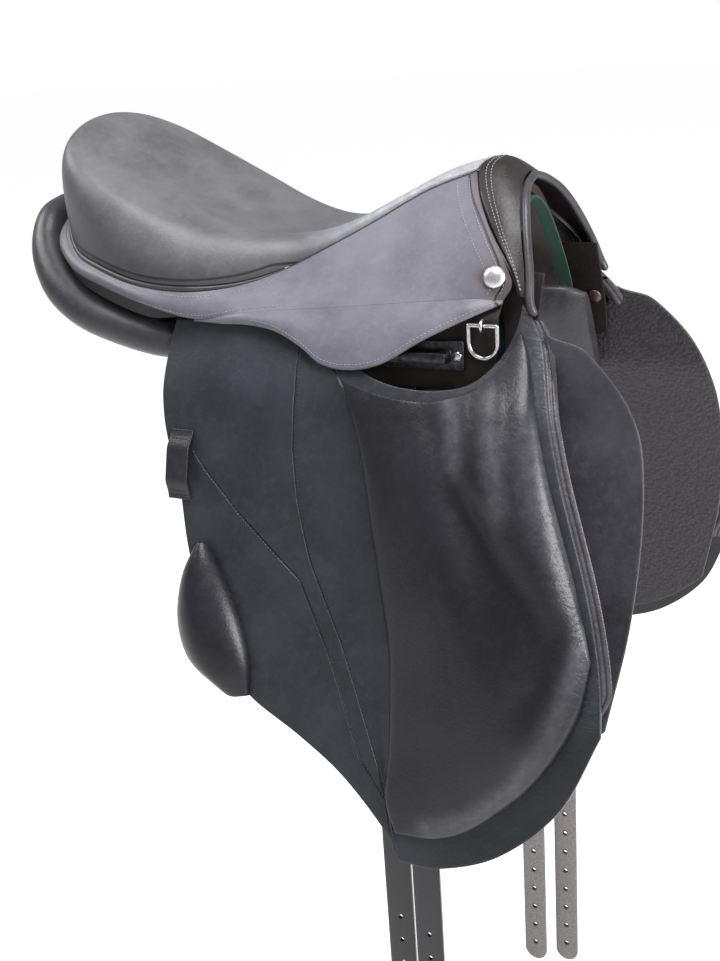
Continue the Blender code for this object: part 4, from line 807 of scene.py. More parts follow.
@dataclass(frozen=True)
class Leather:
    """Drum-dyed cow leather with a pigment finish.

    The dye lies unevenly, so the colour drifts over some centimetres and is mottled finely. The
    grain is drawn at about 2 mm, twice the real size, because finer grain doesn't show.
    """

    name: str
    face: str
    shade: str
    bloom: str
    # Colour of marked vertices: real brown wear on the skirts, lighter ridges along the flap's front wrinkles,
    # painted sheen on the seat and painted highlights on the knee blocks
    worn_and_highlit: str = "#4b3b33"
    # Colour of painted shade on marked vertices: low on the seat's cantle side, on the flap's lower front corner
    # and in the knee block's hollow
    painted_shade: str = "#0a0a0c"
    pressed: str = "#0c0c0e"
    bloom_share: float = 0.35
    grain_mm: float = 2.1
    grain_height: float = 0.10
    drift_mm: float = 55.0
    drift_range: tuple = (0.36, 0.64)
    mottle_mm: float = 7.0
    mottle_range: tuple = (0.48, 0.78)
    roughness: float = 0.46
    gloss: float = 0.5
    coat: float = 0.0
    seams: tuple = ()
    seam_width: float = 1.5
    seam_depth: float = 0.9
    inner: str = ""
    pebble_mm: float = 3.2
    pebble_depth: float = 0.55
    creases: bool = False
    pucker_mm: float = 9.0
    pucker_height: float = 1.5

    def pucker(self, graph: Graph, height: Socket) -> Socket:
        """Puckers where the vertices are marked with creases.

        Args:
            graph: nodes of the material.
            height: relief so far.

        Returns:
            The relief with the puckers.
        """
        turned = graph.mapped((0.45, 1.0, 1.5), (0.0, 0.35, 0.0))
        folds = graph.noise(1000 / self.pucker_mm, 4.0, twist=1.4, place=turned)
        return graph.math("MULTIPLY_ADD", graph.math("MULTIPLY", folds, graph.attribute("crease")),
                          self.pucker_height, height)

    def press_seam(self, graph: Graph, seam: str, colour: Socket, height: Socket) -> tuple:
        """Darken and sink a seam that the vertices are marked with.

        Args:
            graph: nodes of the material.
            seam: name of the mark.
            colour: colour so far.
            height: relief so far.

        Returns:
            The colour and the relief with the seam.
        """
        gap = graph.math("ABSOLUTE", graph.math("SUBTRACT", graph.attribute(seam), 1.0))
        groove = graph.spread(gap, (0.0, self.seam_width / SEAM_REACH), (1.0, 0.0), eased=True)
        colour = graph.blend(graph.math("MULTIPLY", groove, 0.7), colour, self.pressed)
        return colour, graph.math("MULTIPLY_ADD", groove, -self.seam_depth, height)

    def flesh(self, graph: Graph, colour: Socket, height: Socket) -> tuple:
        """Pebbled flesh side where the vertices are marked as inner ones.

        Args:
            graph: nodes of the material.
            colour: colour so far.
            height: relief so far.

        Returns:
            The colour and the relief with the flesh side.
        """
        share = graph.attribute("inner")
        pebbles = graph.cells(self.pebble_mm)
        back = graph.blend(1.0, self.inner, graph.spread(pebbles, (0.0, 0.7), (1.15, 0.72)), "MULTIPLY")
        low = graph.math("MULTIPLY", pebbles, share)
        return graph.blend(share, colour, back), graph.math("MULTIPLY_ADD", low, -self.pebble_depth, height)

    def material(self) -> bpy.types.Material:
        """Build the node material.

        Returns:
            The material.
        """
        graph = Graph(bpy.data.materials.new(self.name))
        drift = graph.spread(graph.noise(1000 / self.drift_mm, 4.0, 0.55), self.drift_range)
        colour = graph.blend(drift, self.face, self.shade)
        mottle = graph.noise(1000 / self.mottle_mm, 6.0, 0.68)
        colour = graph.blend(graph.spread(mottle, self.mottle_range, (0.0, self.bloom_share)), colour, self.bloom)
        height = graph.math("MULTIPLY", graph.cells(self.grain_mm, "SMOOTH_F1"), self.grain_height)
        height = graph.math("MULTIPLY_ADD", mottle, self.grain_height * 1.5, height)
        if self.creases:
            height = self.pucker(graph, height)
        # Marked vertices turn towards the worn colour: real wear on the skirts, painted sheen and painted
        # highlights elsewhere
        rubbing_and_highlight = graph.math("MULTIPLY", graph.attribute("wear_and_highlight"), mottle, held=True)
        colour = graph.blend(rubbing_and_highlight, colour, self.worn_and_highlit)
        # Marked vertices turn darker as painted shade
        colour = graph.blend(graph.attribute("painted_shade"), colour, self.painted_shade)
        for seam in self.seams:
            colour, height = self.press_seam(graph, seam, colour, height)
        rough = graph.spread(mottle, (0.3, 0.7), (self.roughness - 0.05, self.roughness + 0.06))
        if self.inner:
            colour, height = self.flesh(graph, colour, height)
        inputs = {"Base Color": colour, "Roughness": rough, "IOR": 1.5, "Specular IOR Level": self.gloss}
        if self.coat:
            inputs |= {"Coat Weight": self.coat, "Coat Roughness": 0.28}
        return graph.shade(self.face, inputs, height)


@dataclass(frozen=True)
class Cloth:
    """Woven, felted or foamed stuff, whose threads or cells scatter the light."""

    name: str
    face: str
    shade: str
    thread_mm: float = 1.6
    woven: bool = True
    height: float = 0.25
    cloud_scale: float = 40.0
    roughness: float = 0.92
    gloss: float = 0.25
    sheen: float = 0.15

    def material(self) -> bpy.types.Material:
        """Build the node material.

        Returns:
            The material.
        """
        graph = Graph(bpy.data.materials.new(self.name))
        relief = graph.noise(1000 / self.thread_mm, 5.0, 0.7)
        if self.woven:
            warp, weft, weft_up = (graph.wave(WAVE_MM / self.thread_mm, 0.4, axis) for axis in "XYZ")
            relief = graph.math("MULTIPLY_ADD", graph.math("MULTIPLY", warp, weft), weft_up, relief)
        share = graph.math("MULTIPLY_ADD", relief, 0.6, graph.noise(self.cloud_scale, 3.0), held=True)
        inputs = {"Base Color": graph.blend(share, self.shade, self.face), "Roughness": self.roughness,
                  "Specular IOR Level": self.gloss, "Sheen Weight": self.sheen}
        return graph.shade(self.face, inputs, relief, self.height)


@dataclass(frozen=True)
class Metal:
    """Plated or forged metal, with fine scratches and a dull film in the hollows."""

    name: str
    face: str
    shade: str
    roughness: float = 0.2
    spread: float = 0.12
    metallic: float = 1.0
    scratch_mm: float = 0.9
    scratch_depth: float = 0.02
    film_scale: float = 220.0

    def material(self) -> bpy.types.Material:
        """Build the node material.

        Returns:
            The material.
        """
        graph = Graph(bpy.data.materials.new(self.name))
        film = graph.noise(self.film_scale, 5.0, 0.6)
        scratches = graph.noise(1000 / self.scratch_mm, 3.0, place=graph.mapped((0.25, 1.0, 1.0)))
        colour = graph.blend(graph.spread(film, (0.42, 0.7)), self.face, self.shade)
        rough = graph.spread(film, (0.3, 0.7), (self.roughness, self.roughness + self.spread))
        inputs = {"Base Color": colour, "Roughness": rough, "Metallic": self.metallic}
        return graph.shade(self.face, inputs, scratches, self.scratch_depth)


@dataclass(frozen=True)
class LaminatedBeech:
    """Beech veneers 1.5 mm thick glued to a curved tree, stained dark and sealed under a scrim."""

    name: str = "laminated beech, stained"
    face: str = "#3d3027"
    shade: str = "#291f19"
    fibre_scale: float = 700.0
    veneer_scale: float = 105.0
    roughness: float = 0.5

    def material(self) -> bpy.types.Material:
        """Build the node material.

        Returns:
            The material.
        """
        graph = Graph(bpy.data.materials.new(self.name))
        fibre = graph.noise(self.fibre_scale, 5.0, twist=0.3, place=graph.mapped((0.12, 1.0, 1.0)))
        share = graph.math("MULTIPLY_ADD", graph.wave(self.veneer_scale, 0.6, "Z"), 0.25, fibre, held=True)
        inputs = {"Base Color": graph.blend(share, self.face, self.shade), "Roughness": self.roughness}
        return graph.shade(self.face, inputs, fibre, 0.08)


class Finishes:
    """The saddle's materials, each made on its first use."""

    # Thin calf stretched over foam: soft and matt. Its colours are the flaps' black calf painted lighter for the
    # light from above, with a painted sheen towards the pommel and painted shade low on the cantle side
    SEAT = Leather("soft calf over foam", "#616165", "#505054", "#76767a", worn_and_highlit="#adadb5", roughness=0.42,
                   gloss=0.3, seams=("seat_line",), seam_width=2.0)
    # Firm calf, cut thick: its smooth grain side is painted pale as a broad sheen from above, lighter than the
    # flaps' black calf, with real brown wear round the nail
    SKIRT = Leather("firm calf of the skirts", "#6c6b75", "#5c5b65", "#7f7e89", roughness=0.4, gloss=0.3,
                    seams=("pommel_line",), creases=True)
    # Calf drawn wet over the head: stretched smooth, and darker than the skirts, whose paler colours are a painted
    # sheen
    POMMEL = Leather("calf drawn over the head", "#272223", "#1d1a1a", "#332d2e", roughness=0.38, gloss=0.3)
    # Grain calf glazed by the rider's boot: deep black with brighter ridges along the front wrinkles, painted
    # shade on the lower front corner, and pressed seams
    FLAP = Leather("smooth calf of the flaps", "#303238", "#25272c", "#3f4148", worn_and_highlit="#6c6b70", roughness=0.34,
                   gloss=0.3, seams=("flap_line", "knee_line", "cross_line"), creases=True)
    # Soft calf over dense foam: it puckers at its turned edges. Its colours are painted darker than the flaps' as
    # shade, with painted highlights on the ridges and painted shade in the hollow
    BLOCK = Leather("soft calf of the blocks", "#201f25", "#18171c", "#2c2b31", worn_and_highlit="#69686f", roughness=0.33,
                    gloss=0.3, bloom_share=0.3, creases=True)
    # Skived calf pasted round cord: tight small puckers and a thin line of light along the roll
    WELTING = Leather("thin calf rolled over cord", "#403e43", "#302e32", "#535055", roughness=0.34, gloss=0.4,
                      mottle_mm=4.0, creases=True)
    # Unglazed calf: dull and nearly black
    FACING = Leather("matt calf of the facing", "#1b1a1d", "#151417", "#262529", roughness=0.5, gloss=0.25)
    # Edges rubbed with wax: an even, slightly lighter face
    KEEPER = Leather("firm calf with burnished edges", "#2c2b2f", "#212024", "#403f43", roughness=0.36, gloss=0.3)
    # Grain to the rider, pebbled grip side to the horse
    SWEAT = Leather("calf of the sweat flaps", "#3b3a40", "#2d2c31", "#4c4b52", roughness=0.38, gloss=0.3,
                    inner="#38353a")
    # Supple calf filled with wool: coarser grain, polished by the horse's coat
    PANEL = Leather("soft calf of the panels", "#38373c", "#2a292e", "#4a494e", roughness=0.36, gloss=0.4,
                    grain_mm=2.6)
    # Coated on the face for wet work, raw and grey on the flesh side; the face is painted near black as the shadow
    # under the flaps, and the flesh side painted paler as the light on the far straps
    STRAP = Leather("coated strap leather", "#1e1d22", "#16151a", "#2f2e33", roughness=0.34, gloss=0.3, coat=0.1,
                    inner="#8b8585", pebble_mm=1.8, mottle_mm=5.0)
    # Undressed split leather: brown and without shine, painted near black as the shade in the hollows under the
    # skirts
    LINING = Leather("dark brown lining leather", "#1f1917", "#171211", "#302826", roughness=0.6, gloss=0.2)
    # The same split, in its own grey-brown without the lining's painted shade
    ARCH = Leather("grey-brown lining of the arch", "#4a4442", "#39322f", "#5a5350", roughness=0.6, gloss=0.2)
    # Fulled wool: short fibres that hide any weave
    FELT = Cloth("green wool felt", "#21483d", "#17332b", thread_mm=1.1, woven=False, height=0.4)
    # Plain weave of undyed flax, drawn tight: crossing ribs
    WEB = Cloth("woven linen web", "#a39a86", "#7d7463")
    # Cut open cells: pale and pitted
    FOAM = Cloth("open-cell foam", "#d2cdb9", "#b9b39d", thread_mm=2.2, woven=False, height=0.5)
    # Twisted and waxed: a smooth, greyed thread
    THREAD = Cloth("waxed linen thread", "#8d8a8e", "#6d6a6c", thread_mm=0.4, woven=False, height=0.05)
    # Bonded filaments: near black, lost in the leather but for their relief
    DARK_THREAD = Cloth("black bonded thread", "#1d1d20", "#29292c", thread_mm=0.4, woven=False, height=0.05)
    # Pressed veneers: fine fibres with faint bands where the layers are cut through
    BEECH = LaminatedBeech()
    # Rolled flat: even grey with a dull skin
    PLATE = Metal("rolled steel plate", "#8d8e91", "#6f6d6b", roughness=0.35)
    # Drop-forged: painted dark as the shade of the hollow under the skirt, with soft edges
    FORGED = Metal("forged bar steel, blackened", "#3c3c40", "#242427", roughness=0.32)
    # Hammered over and plated: bright with small dents
    RIVET = Metal("nickel-plated rivet", "#a9a8ac", "#87868a", roughness=0.16)
    # Stamped and buffed: a mirror dulled by wax
    NAIL = Metal("polished nickel dome", "#d8d4d6", "#b9b4b5", roughness=0.28)
    # Drawn wire, bent and plated: clear highlights along the bow
    RING = Metal("nickel-plated wire", "#c4c3c7", "#9c9b9f", roughness=0.18)
    # Lacquer over stamped brass: brown, with the metal showing through
    BUTTON = Metal("brown lacquered brass", "#5a4a44", "#40332f", roughness=0.3, metallic=0.55)
    _made: dict = {}

    @classmethod
    def material(cls, finish: object) -> bpy.types.Material:
        """Return the material of a finish.

        Args:
            finish: one of the finishes above.

        Returns:
            Its material, made when it is first asked for.
        """
        if finish.name not in cls._made:
            cls._made[finish.name] = finish.material()
        return cls._made[finish.name]


# Making pieces


def deselect() -> None:
    """Leave nothing selected, so that an operator acts on the new piece alone."""
    if bpy.context.object and bpy.context.object.mode != "OBJECT":
        bpy.ops.object.mode_set(mode="OBJECT")
    bpy.ops.object.select_all(action="DESELECT")


def pick(piece: bpy.types.Object) -> None:
    """Select one piece and make it the active one.

    Args:
        piece: the piece.
    """
    deselect()
    piece.select_set(True)
    bpy.context.view_layer.objects.active = piece


@contextmanager
def editing(piece: bpy.types.Object) -> Iterator[None]:
    """Edit one piece with all of it selected.

    Args:
        piece: the piece.

    Yields:
        Nothing, while the piece is in edit mode.
    """
    pick(piece)
    bpy.ops.object.mode_set(mode="EDIT")
    bpy.ops.mesh.select_all(action="SELECT")
    yield
    bpy.ops.object.mode_set(mode="OBJECT")


def read_spots(piece: bpy.types.Object) -> Array:
    """Vertex places of a piece.

    Args:
        piece: the piece.

    Returns:
        One row for each vertex, in metres or as shares.
    """
    flat_list = np.empty(len(piece.data.vertices) * 3)
    piece.data.vertices.foreach_get("co", flat_list)
    return flat_list.reshape(-1, 3)


def write_spots(piece: bpy.types.Object, spots: Array) -> None:
    """Give the vertices of a piece their places in millimetres."""
    piece.data.vertices.foreach_set("co", (spots * MM).astype(np.float32).ravel())
    piece.data.update()


def drop_faces(piece: bpy.types.Object, chosen: Array) -> None:
    """Delete the chosen faces and keep their edges.

    Args:
        piece: the piece.
        chosen: which faces go.
    """
    pick(piece)
    bpy.context.tool_settings.mesh_select_mode = (False, False, True)
    piece.data.vertices.foreach_set("select", np.zeros(len(piece.data.vertices), bool))
    piece.data.edges.foreach_set("select", np.zeros(len(piece.data.edges), bool))
    piece.data.polygons.foreach_set("select", chosen)
    bpy.ops.object.mode_set(mode="EDIT")
    bpy.ops.mesh.delete(type="ONLY_FACE")
    bpy.ops.object.mode_set(mode="OBJECT")


def close_shell(piece: bpy.types.Object, fill: bool = False) -> None:
    """Merge doubles, fill open ends if asked and turn the faces out.

    Args:
        piece: the piece.
        fill: whether open ends are filled.
    """
    with editing(piece):
        bpy.ops.mesh.remove_doubles(threshold=0.02 * MM)
        if fill:
            bpy.ops.mesh.fill_holes(sides=0)
            bpy.ops.mesh.select_all(action="SELECT")
        bpy.ops.mesh.normals_make_consistent(inside=False)


def soften_edges(piece: bpy.types.Object, width: float, segments: int = 2, angle: float = 38.0) -> None:
    """Round the edges by a bevel of a width in millimetres.

    Args:
        piece: the piece.
        width: width of the bevel.
        segments: steps of the rounding.
        angle: smallest angle in degrees that is rounded.
    """
    pick(piece)
    bevel = piece.modifiers.new("rounded edges", "BEVEL")
    bevel.width = width * MM
    bevel.segments = segments
    bevel.limit_method = "ANGLE"
    bevel.angle_limit = math.radians(angle)
    bpy.ops.object.modifier_apply(modifier=bevel.name)


def smooth_shade(piece: bpy.types.Object, angle: float = 60.0) -> None:
    """Shade smooth below an angle."""
    pick(piece)
    bpy.ops.object.shade_smooth_by_angle(angle=math.radians(angle))


def mark(piece: bpy.types.Object, name: str, values: Array) -> None:
    """Store a number on each vertex for a material to read."""
    layer = piece.data.attributes.new(name, "FLOAT", "POINT")
    layer.data.foreach_set("value", np.asarray(values, np.float32))


def seam_mark(distance: Array) -> Array:
    """Store a distance in millimetres so that 1 lies on the seam and 0 is far away."""
    return np.clip(1.0 + distance / SEAM_REACH, 0.0, 2.0)


def new_grid(name: str, columns: int, rows: int) -> bpy.types.Object:
    """Add a grid over the unit square.

    Args:
        name: name of the piece.
        columns: cells across.
        rows: cells down.

    Returns:
        The grid.
    """
    deselect()
    middle = (0.5, 0.5, 0.0)
    bpy.ops.mesh.primitive_grid_add(x_subdivisions=columns, y_subdivisions=rows, size=1.0, location=middle)
    bpy.ops.object.transform_apply(location=True, rotation=False, scale=False)
    piece = bpy.context.object
    piece.name = piece.data.name = name
    return piece


def shape(piece: bpy.types.Object, place: Place, side: Side, marks: Optional[dict]) -> None:
    """Mark the vertices of a unit grid or block and move them to their places.

    Args:
        piece: the grid or block.
        place: gives points for the shares and the layer.
        side: side that the piece lies on; the left one is mirrored.
        marks: functions of the shares, the layer and the points, for numbers stored on vertices.
    """
    spots = read_spots(piece)
    u, v, w = (np.clip(spots[:, axis], 0.0, 1.0) for axis in range(3))
    found = place(u, v, w)
    for label, rule in (marks or {}).items():
        mark(piece, label, rule(u, v, w, found))
    write_spots(piece, found * OVER_PLANE if side is Side.LEFT else found)


def plate(name: str, place: Place, columns: int, rows: int, side: Side = Side.RIGHT, weld_foot: bool = False,
          bevel: float = 0.0, marks: Optional[dict] = None) -> bpy.types.Object:
    """Make a closed piece between an inner and an outer layer.

    Args:
        name: name of the piece.
        place: gives points for share across, share down and layer (0 inner, 1 outer).
        columns: cells across.
        rows: cells down.
        side: side that the piece lies on; the left one is mirrored.
        weld_foot: whether the last row closes on itself on the middle plane.
        bevel: rounding of the edges in millimetres.
        marks: functions of the shares, the layer and the points, for numbers stored on vertices.

    Returns:
        The new piece.
    """
    piece = new_grid(name, columns, rows)
    with editing(piece):
        bpy.ops.mesh.extrude_region_move(TRANSFORM_OT_translate={"value": (0.0, 0.0, 1.0)})
    if weld_foot:
        down = read_spots(piece)[:, 1]
        lowest = [min(down[index] for index in face.vertices) for face in piece.data.polygons]
        drop_faces(piece, np.array(lowest) > 0.9999)
    shape(piece, place, side, marks)
    close_shell(piece)
    if bevel:
        soften_edges(piece, bevel)
    smooth_shade(piece)
    return piece


def loft(name: str, place: Ring, around: int, along: int, side: Side = Side.RIGHT,
         ring: bool = False, marks: Optional[dict] = None) -> bpy.types.Object:
    """Make a closed piece of rings; place takes the turn and the share of the length.

    Args:
        name: name of the piece.
        place: gives points for a share of the turn and a share of the length.
        around: cells around.
        along: cells along.
        side: side that the piece lies on.
        ring: whether the last ring joins the first one.
        marks: numbers stored on vertices.

    Returns:
        The new piece.
    """
    piece = new_grid(name, around, along)
    shape(piece, lambda u, v, w: place(u, v), side, marks)
    close_shell(piece, fill=not ring)
    smooth_shade(piece, 50.0)
    return piece


def cord_place(points: Array, radius: float, across: Sequence[float], ring: bool = False) -> Ring:
    """Ring places for a round cord along a dense line.

    Args:
        points: the line.
        radius: radius of the cord.
        across: a direction that the line never takes.
        ring: whether the line is closed.

    Returns:
        The function that loft takes.
    """
    line = np.vstack([points, points[:1]]) if ring else points
    lengths = run_lengths(line)
    total = lengths[-1]

    def centre(share: Array) -> Array:
        """Points of the line at shares of its length."""
        spot = (share % 1.0 if ring else np.clip(share, 0.0, 1.0)) * total
        return np.stack([np.interp(spot, lengths, line[:, axis]) for axis in range(3)], axis=-1)

    def place(u: Array, v: Array) -> Array:
        """Round the line, with rounded ends where it is open.

        Args:
            u: share of the turn.
            v: share of the length.

        Returns:
            Points of the rings.
        """
        step = min(0.01, 3.0 / total)
        along = unit(centre(v + step) - centre(v - step))
        first = unit(np.cross(along, np.array(across, float)))
        size = np.full(len(v), radius)
        if not ring:
            left = np.clip(1.0 - np.minimum(v, 1.0 - v) * total / radius, 0.0, 1.0)
            size = radius * np.sqrt(np.clip(1.0 - left ** 2, 0.04, 1.0))
        return centre(v) + spokes(first, np.cross(first, along), u) * size[:, None]

    return place


def dome_place(centre: Array, axis: Array, diameter: float, height: float, shank: float) -> Ring:
    """Ring places for a turned head with a soft crown.

    Args:
        centre: foot of the head.
        axis: outward direction.
        diameter: diameter of the head.
        height: height of the crown.
        shank: depth of the foot below the face.

    Returns:
        The function that loft takes.
    """
    out = unit(np.asarray(axis, float))
    first = unit(np.cross(out, np.array([0.3, 0.2, 0.9])))
    radius = diameter / 2
    crown, rim = 0.7, 0.85

    def place(u: Array, v: Array) -> Array:
        """From the crown over the rim to the foot.

        Args:
            u: share of the turn.
            v: share of the length.

        Returns:
            Points of the rings.
        """
        rise = np.clip(v / crown, 0.0, 1.0) * np.pi * 0.47
        fall = (v - crown) / (rim - crown)
        foot = 0.96 * (1.0 - v) / (1.0 - rim)
        wide = radius * np.where(v < crown, np.sin(rise), np.where(v < rim, 0.995 - 0.035 * fall, foot))
        high = np.where(v < rim, height * 0.18 * (1.0 - fall), -shank)
        high = np.where(v < crown, height * (0.1 + 0.9 * np.cos(rise)), high)
        return centre + spokes(first, np.cross(out, first), u) * wide[:, None] + out * high[:, None]

    return place


def stitching(name: str, runs: Sequence[tuple], side: Side, pitch: float = 3.3, length: float = 2.5,
              thick: float = 0.42) -> bpy.types.Object:
    """Make rows of stitches, each a small copy of one rounded stitch.

    Args:
        name: name of the piece.
        runs: pairs of a dense line on the leather and its outward directions.
        side: side that the rows lie on.
        pitch: distance between stitches.
        length: length of a stitch.
        thick: half the thickness of the thread.

    Returns:
        One piece with all stitches.
    """
    deselect()
    bpy.ops.mesh.primitive_uv_sphere_add(segments=6, ring_count=4, radius=1.0)
    piece = bpy.context.object
    piece.name = piece.data.name = name
    base = read_spots(piece)
    faces = [tuple(face.vertices) for face in piece.data.polygons]
    shells, polygons, count = [], [], 0
    for line, outward in runs:
        lengths = run_lengths(line)
        for spot in np.arange(pitch / 2, lengths[-1] - pitch / 2, pitch):
            middle, after, before, out = (
                np.array([np.interp(at, lengths, source[:, axis]) for axis in range(3)])
                for at, source in ((spot, line), (spot + 0.8, line), (spot - 0.8, line), (spot, outward))
            )
            along = unit(after - before)
            beside = unit(np.cross(out, along))
            up = np.cross(along, beside)
            stitch = base[:, 2:] * along * length / 2 + (base[:, :1] * beside + base[:, 1:2] * up) * thick
            shells.append(middle + up * thick * 0.25 + stitch)
            polygons.extend(tuple(index + count for index in face) for face in faces)
            count += len(base)
    spots = np.vstack(shells)
    if side is Side.LEFT:
        spots = spots * OVER_PLANE
    mesh = bpy.data.meshes.new(name)
    mesh.from_pydata((spots * MM).tolist(), [], polygons)
    old = piece.data
    piece.data = mesh
    bpy.data.meshes.remove(old)
    with editing(piece):
        bpy.ops.mesh.normals_make_consistent(inside=False)
    bpy.ops.object.shade_smooth()
    return piece


def dress(piece: bpy.types.Object, finish: object, slot: str, body: str, *nodes: str,
          fill: float = -1.0) -> bpy.types.Object:
    """Give a piece its material and body, and report it.

    Args:
        piece: the finished piece.
        finish: finish from Finishes.
        slot: not used.
        body: body that carries the piece, empty for one that is left unattached.
        *nodes: CAD nodes that it stands for.
        fill: not used.

    Returns:
        The same piece.
    """
    piece.data.materials.clear()
    piece.data.materials.append(Finishes.material(finish))
    if body:
        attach(piece, body)
    if nodes:
        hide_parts(*nodes)
    LOG.info("%s: %d faces on %s", piece.name, len(piece.data.polygons), body or "two bodies")
    return piece


def dress_node(node: str, finish: object) -> None:
    """Give a CAD node that stays a better material.

    Args:
        node: name of the CAD node.
        finish: finish from Finishes.
    """
    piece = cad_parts[node]
    made = Finishes.material(finish)
    if piece.material_slots:
        for place in piece.material_slots:
            place.material = made
    else:
        piece.data.materials.append(made)
    LOG.info("%s: kept, with %s", node, finish.name)


# Sub-assemblies


def lining_y(z: Array) -> Array:
    """Outer face of the leather behind the stirrup bar: upright below, leaning in above."""
    return 101.0 + np.where(z > 41.0, -1.2 * (z - 41.0), 0.14 * (41.0 - z))


def both_sides(right: Array) -> Array:
    """Join a line of the right side, which ends on the middle plane, to its mirror image."""
    return np.vstack([right, (right * OVER_PLANE)[::-1][1:]])


def full_width(surface: Surface, across: Array, down: Array, depth: Array) -> Array:
    """Layer of a half surface over its full width; across runs from -1 (right) to 1 (left).

    Args:
        surface: half surface.
        across: place from -1 to 1.
        down: share down.
        depth: depth below the outer face.

    Returns:
        Points of the layer.
    """
    found = surface.layer(np.abs(across), down, depth)
    found[..., 1] *= np.where(across > 0.0, -1.0, 1.0)
    return found


@dataclass
class Tree:
    """Laminated tree with its steel head plate, webs and the felt under the head."""

    web_thickness: float = 1.8
    lining_near: float = 11.2
    lining_far: float = 12.8

    def web(self, name: str, depth: float, reach: float, start: float, end: float, rows: int) -> bpy.types.Object:
        """Make a web that lies on the tree.

        Args:
            name: name of the piece.
            depth: depth below the tree's face.
            reach: share of the width on each side.
            start: where it starts.
            end: where it ends.
            rows: cells down.

        Returns:
            The web.
        """
        def place(u: Array, v: Array, w: Array) -> Array:
            """Layers of the web."""
            thick = self.web_thickness * (1.0 - w)
            return full_width(TREE, (u * 2 - 1) * reach, mix(start, end, v), depth + thick)

        return plate(name, place, 40, rows, bevel=0.5)

    def lining(self, name: str, start: float, end: float, rows: int) -> bpy.types.Object:
        """Make a part of the lining of the arch, from its rear share to its front share.

        Args:
            name: name of the piece.
            start: share at its rear.
            end: share at its front.
            rows: cells down.

        Returns:
            The lining.
        """
        def place(u: Array, v: Array, w: Array) -> Array:
            """Layers of the lining."""
            inset = mix(self.lining_far, self.lining_near, w)
            return head_arch(mix(0.02, 0.98, u) * 2 - 1, mix(start, end, v), inset)

        return plate(name, place, 120, rows, bevel=0.3)

    def build(self) -> None:
        """Build and dress the tree."""
        long_web = self.web("seat_webbing.linen", 0.5, 2 / 7, 0.1, 0.9, 90)
        dress(long_web, Finishes.WEB, "webbing", "saddle", "seat_webbing")
        cross = self.web("cross_web.linen", 2.8, 6 / 7, 0.2, 0.35, 14)
        dress(cross, Finishes.WEB, "webbing", "saddle", "cross_web")
        felt = self.lining("arch_lining.felt", 0.75, 1.25, 12)
        dress(felt, Finishes.FELT, "green_felt", "saddle", "arch_lining")
        calf = self.lining("arch_lining.calf", -0.1, 0.745, 20)
        dress(calf, Finishes.ARCH, "brown_lining", "saddle", "arch_lining")
        for node in ("tree_cantle", "tree_head", "tree_rail_right", "tree_rail_left"):
            dress_node(node, Finishes.BEECH)
        dress_node("head_plate", Finishes.PLATE)


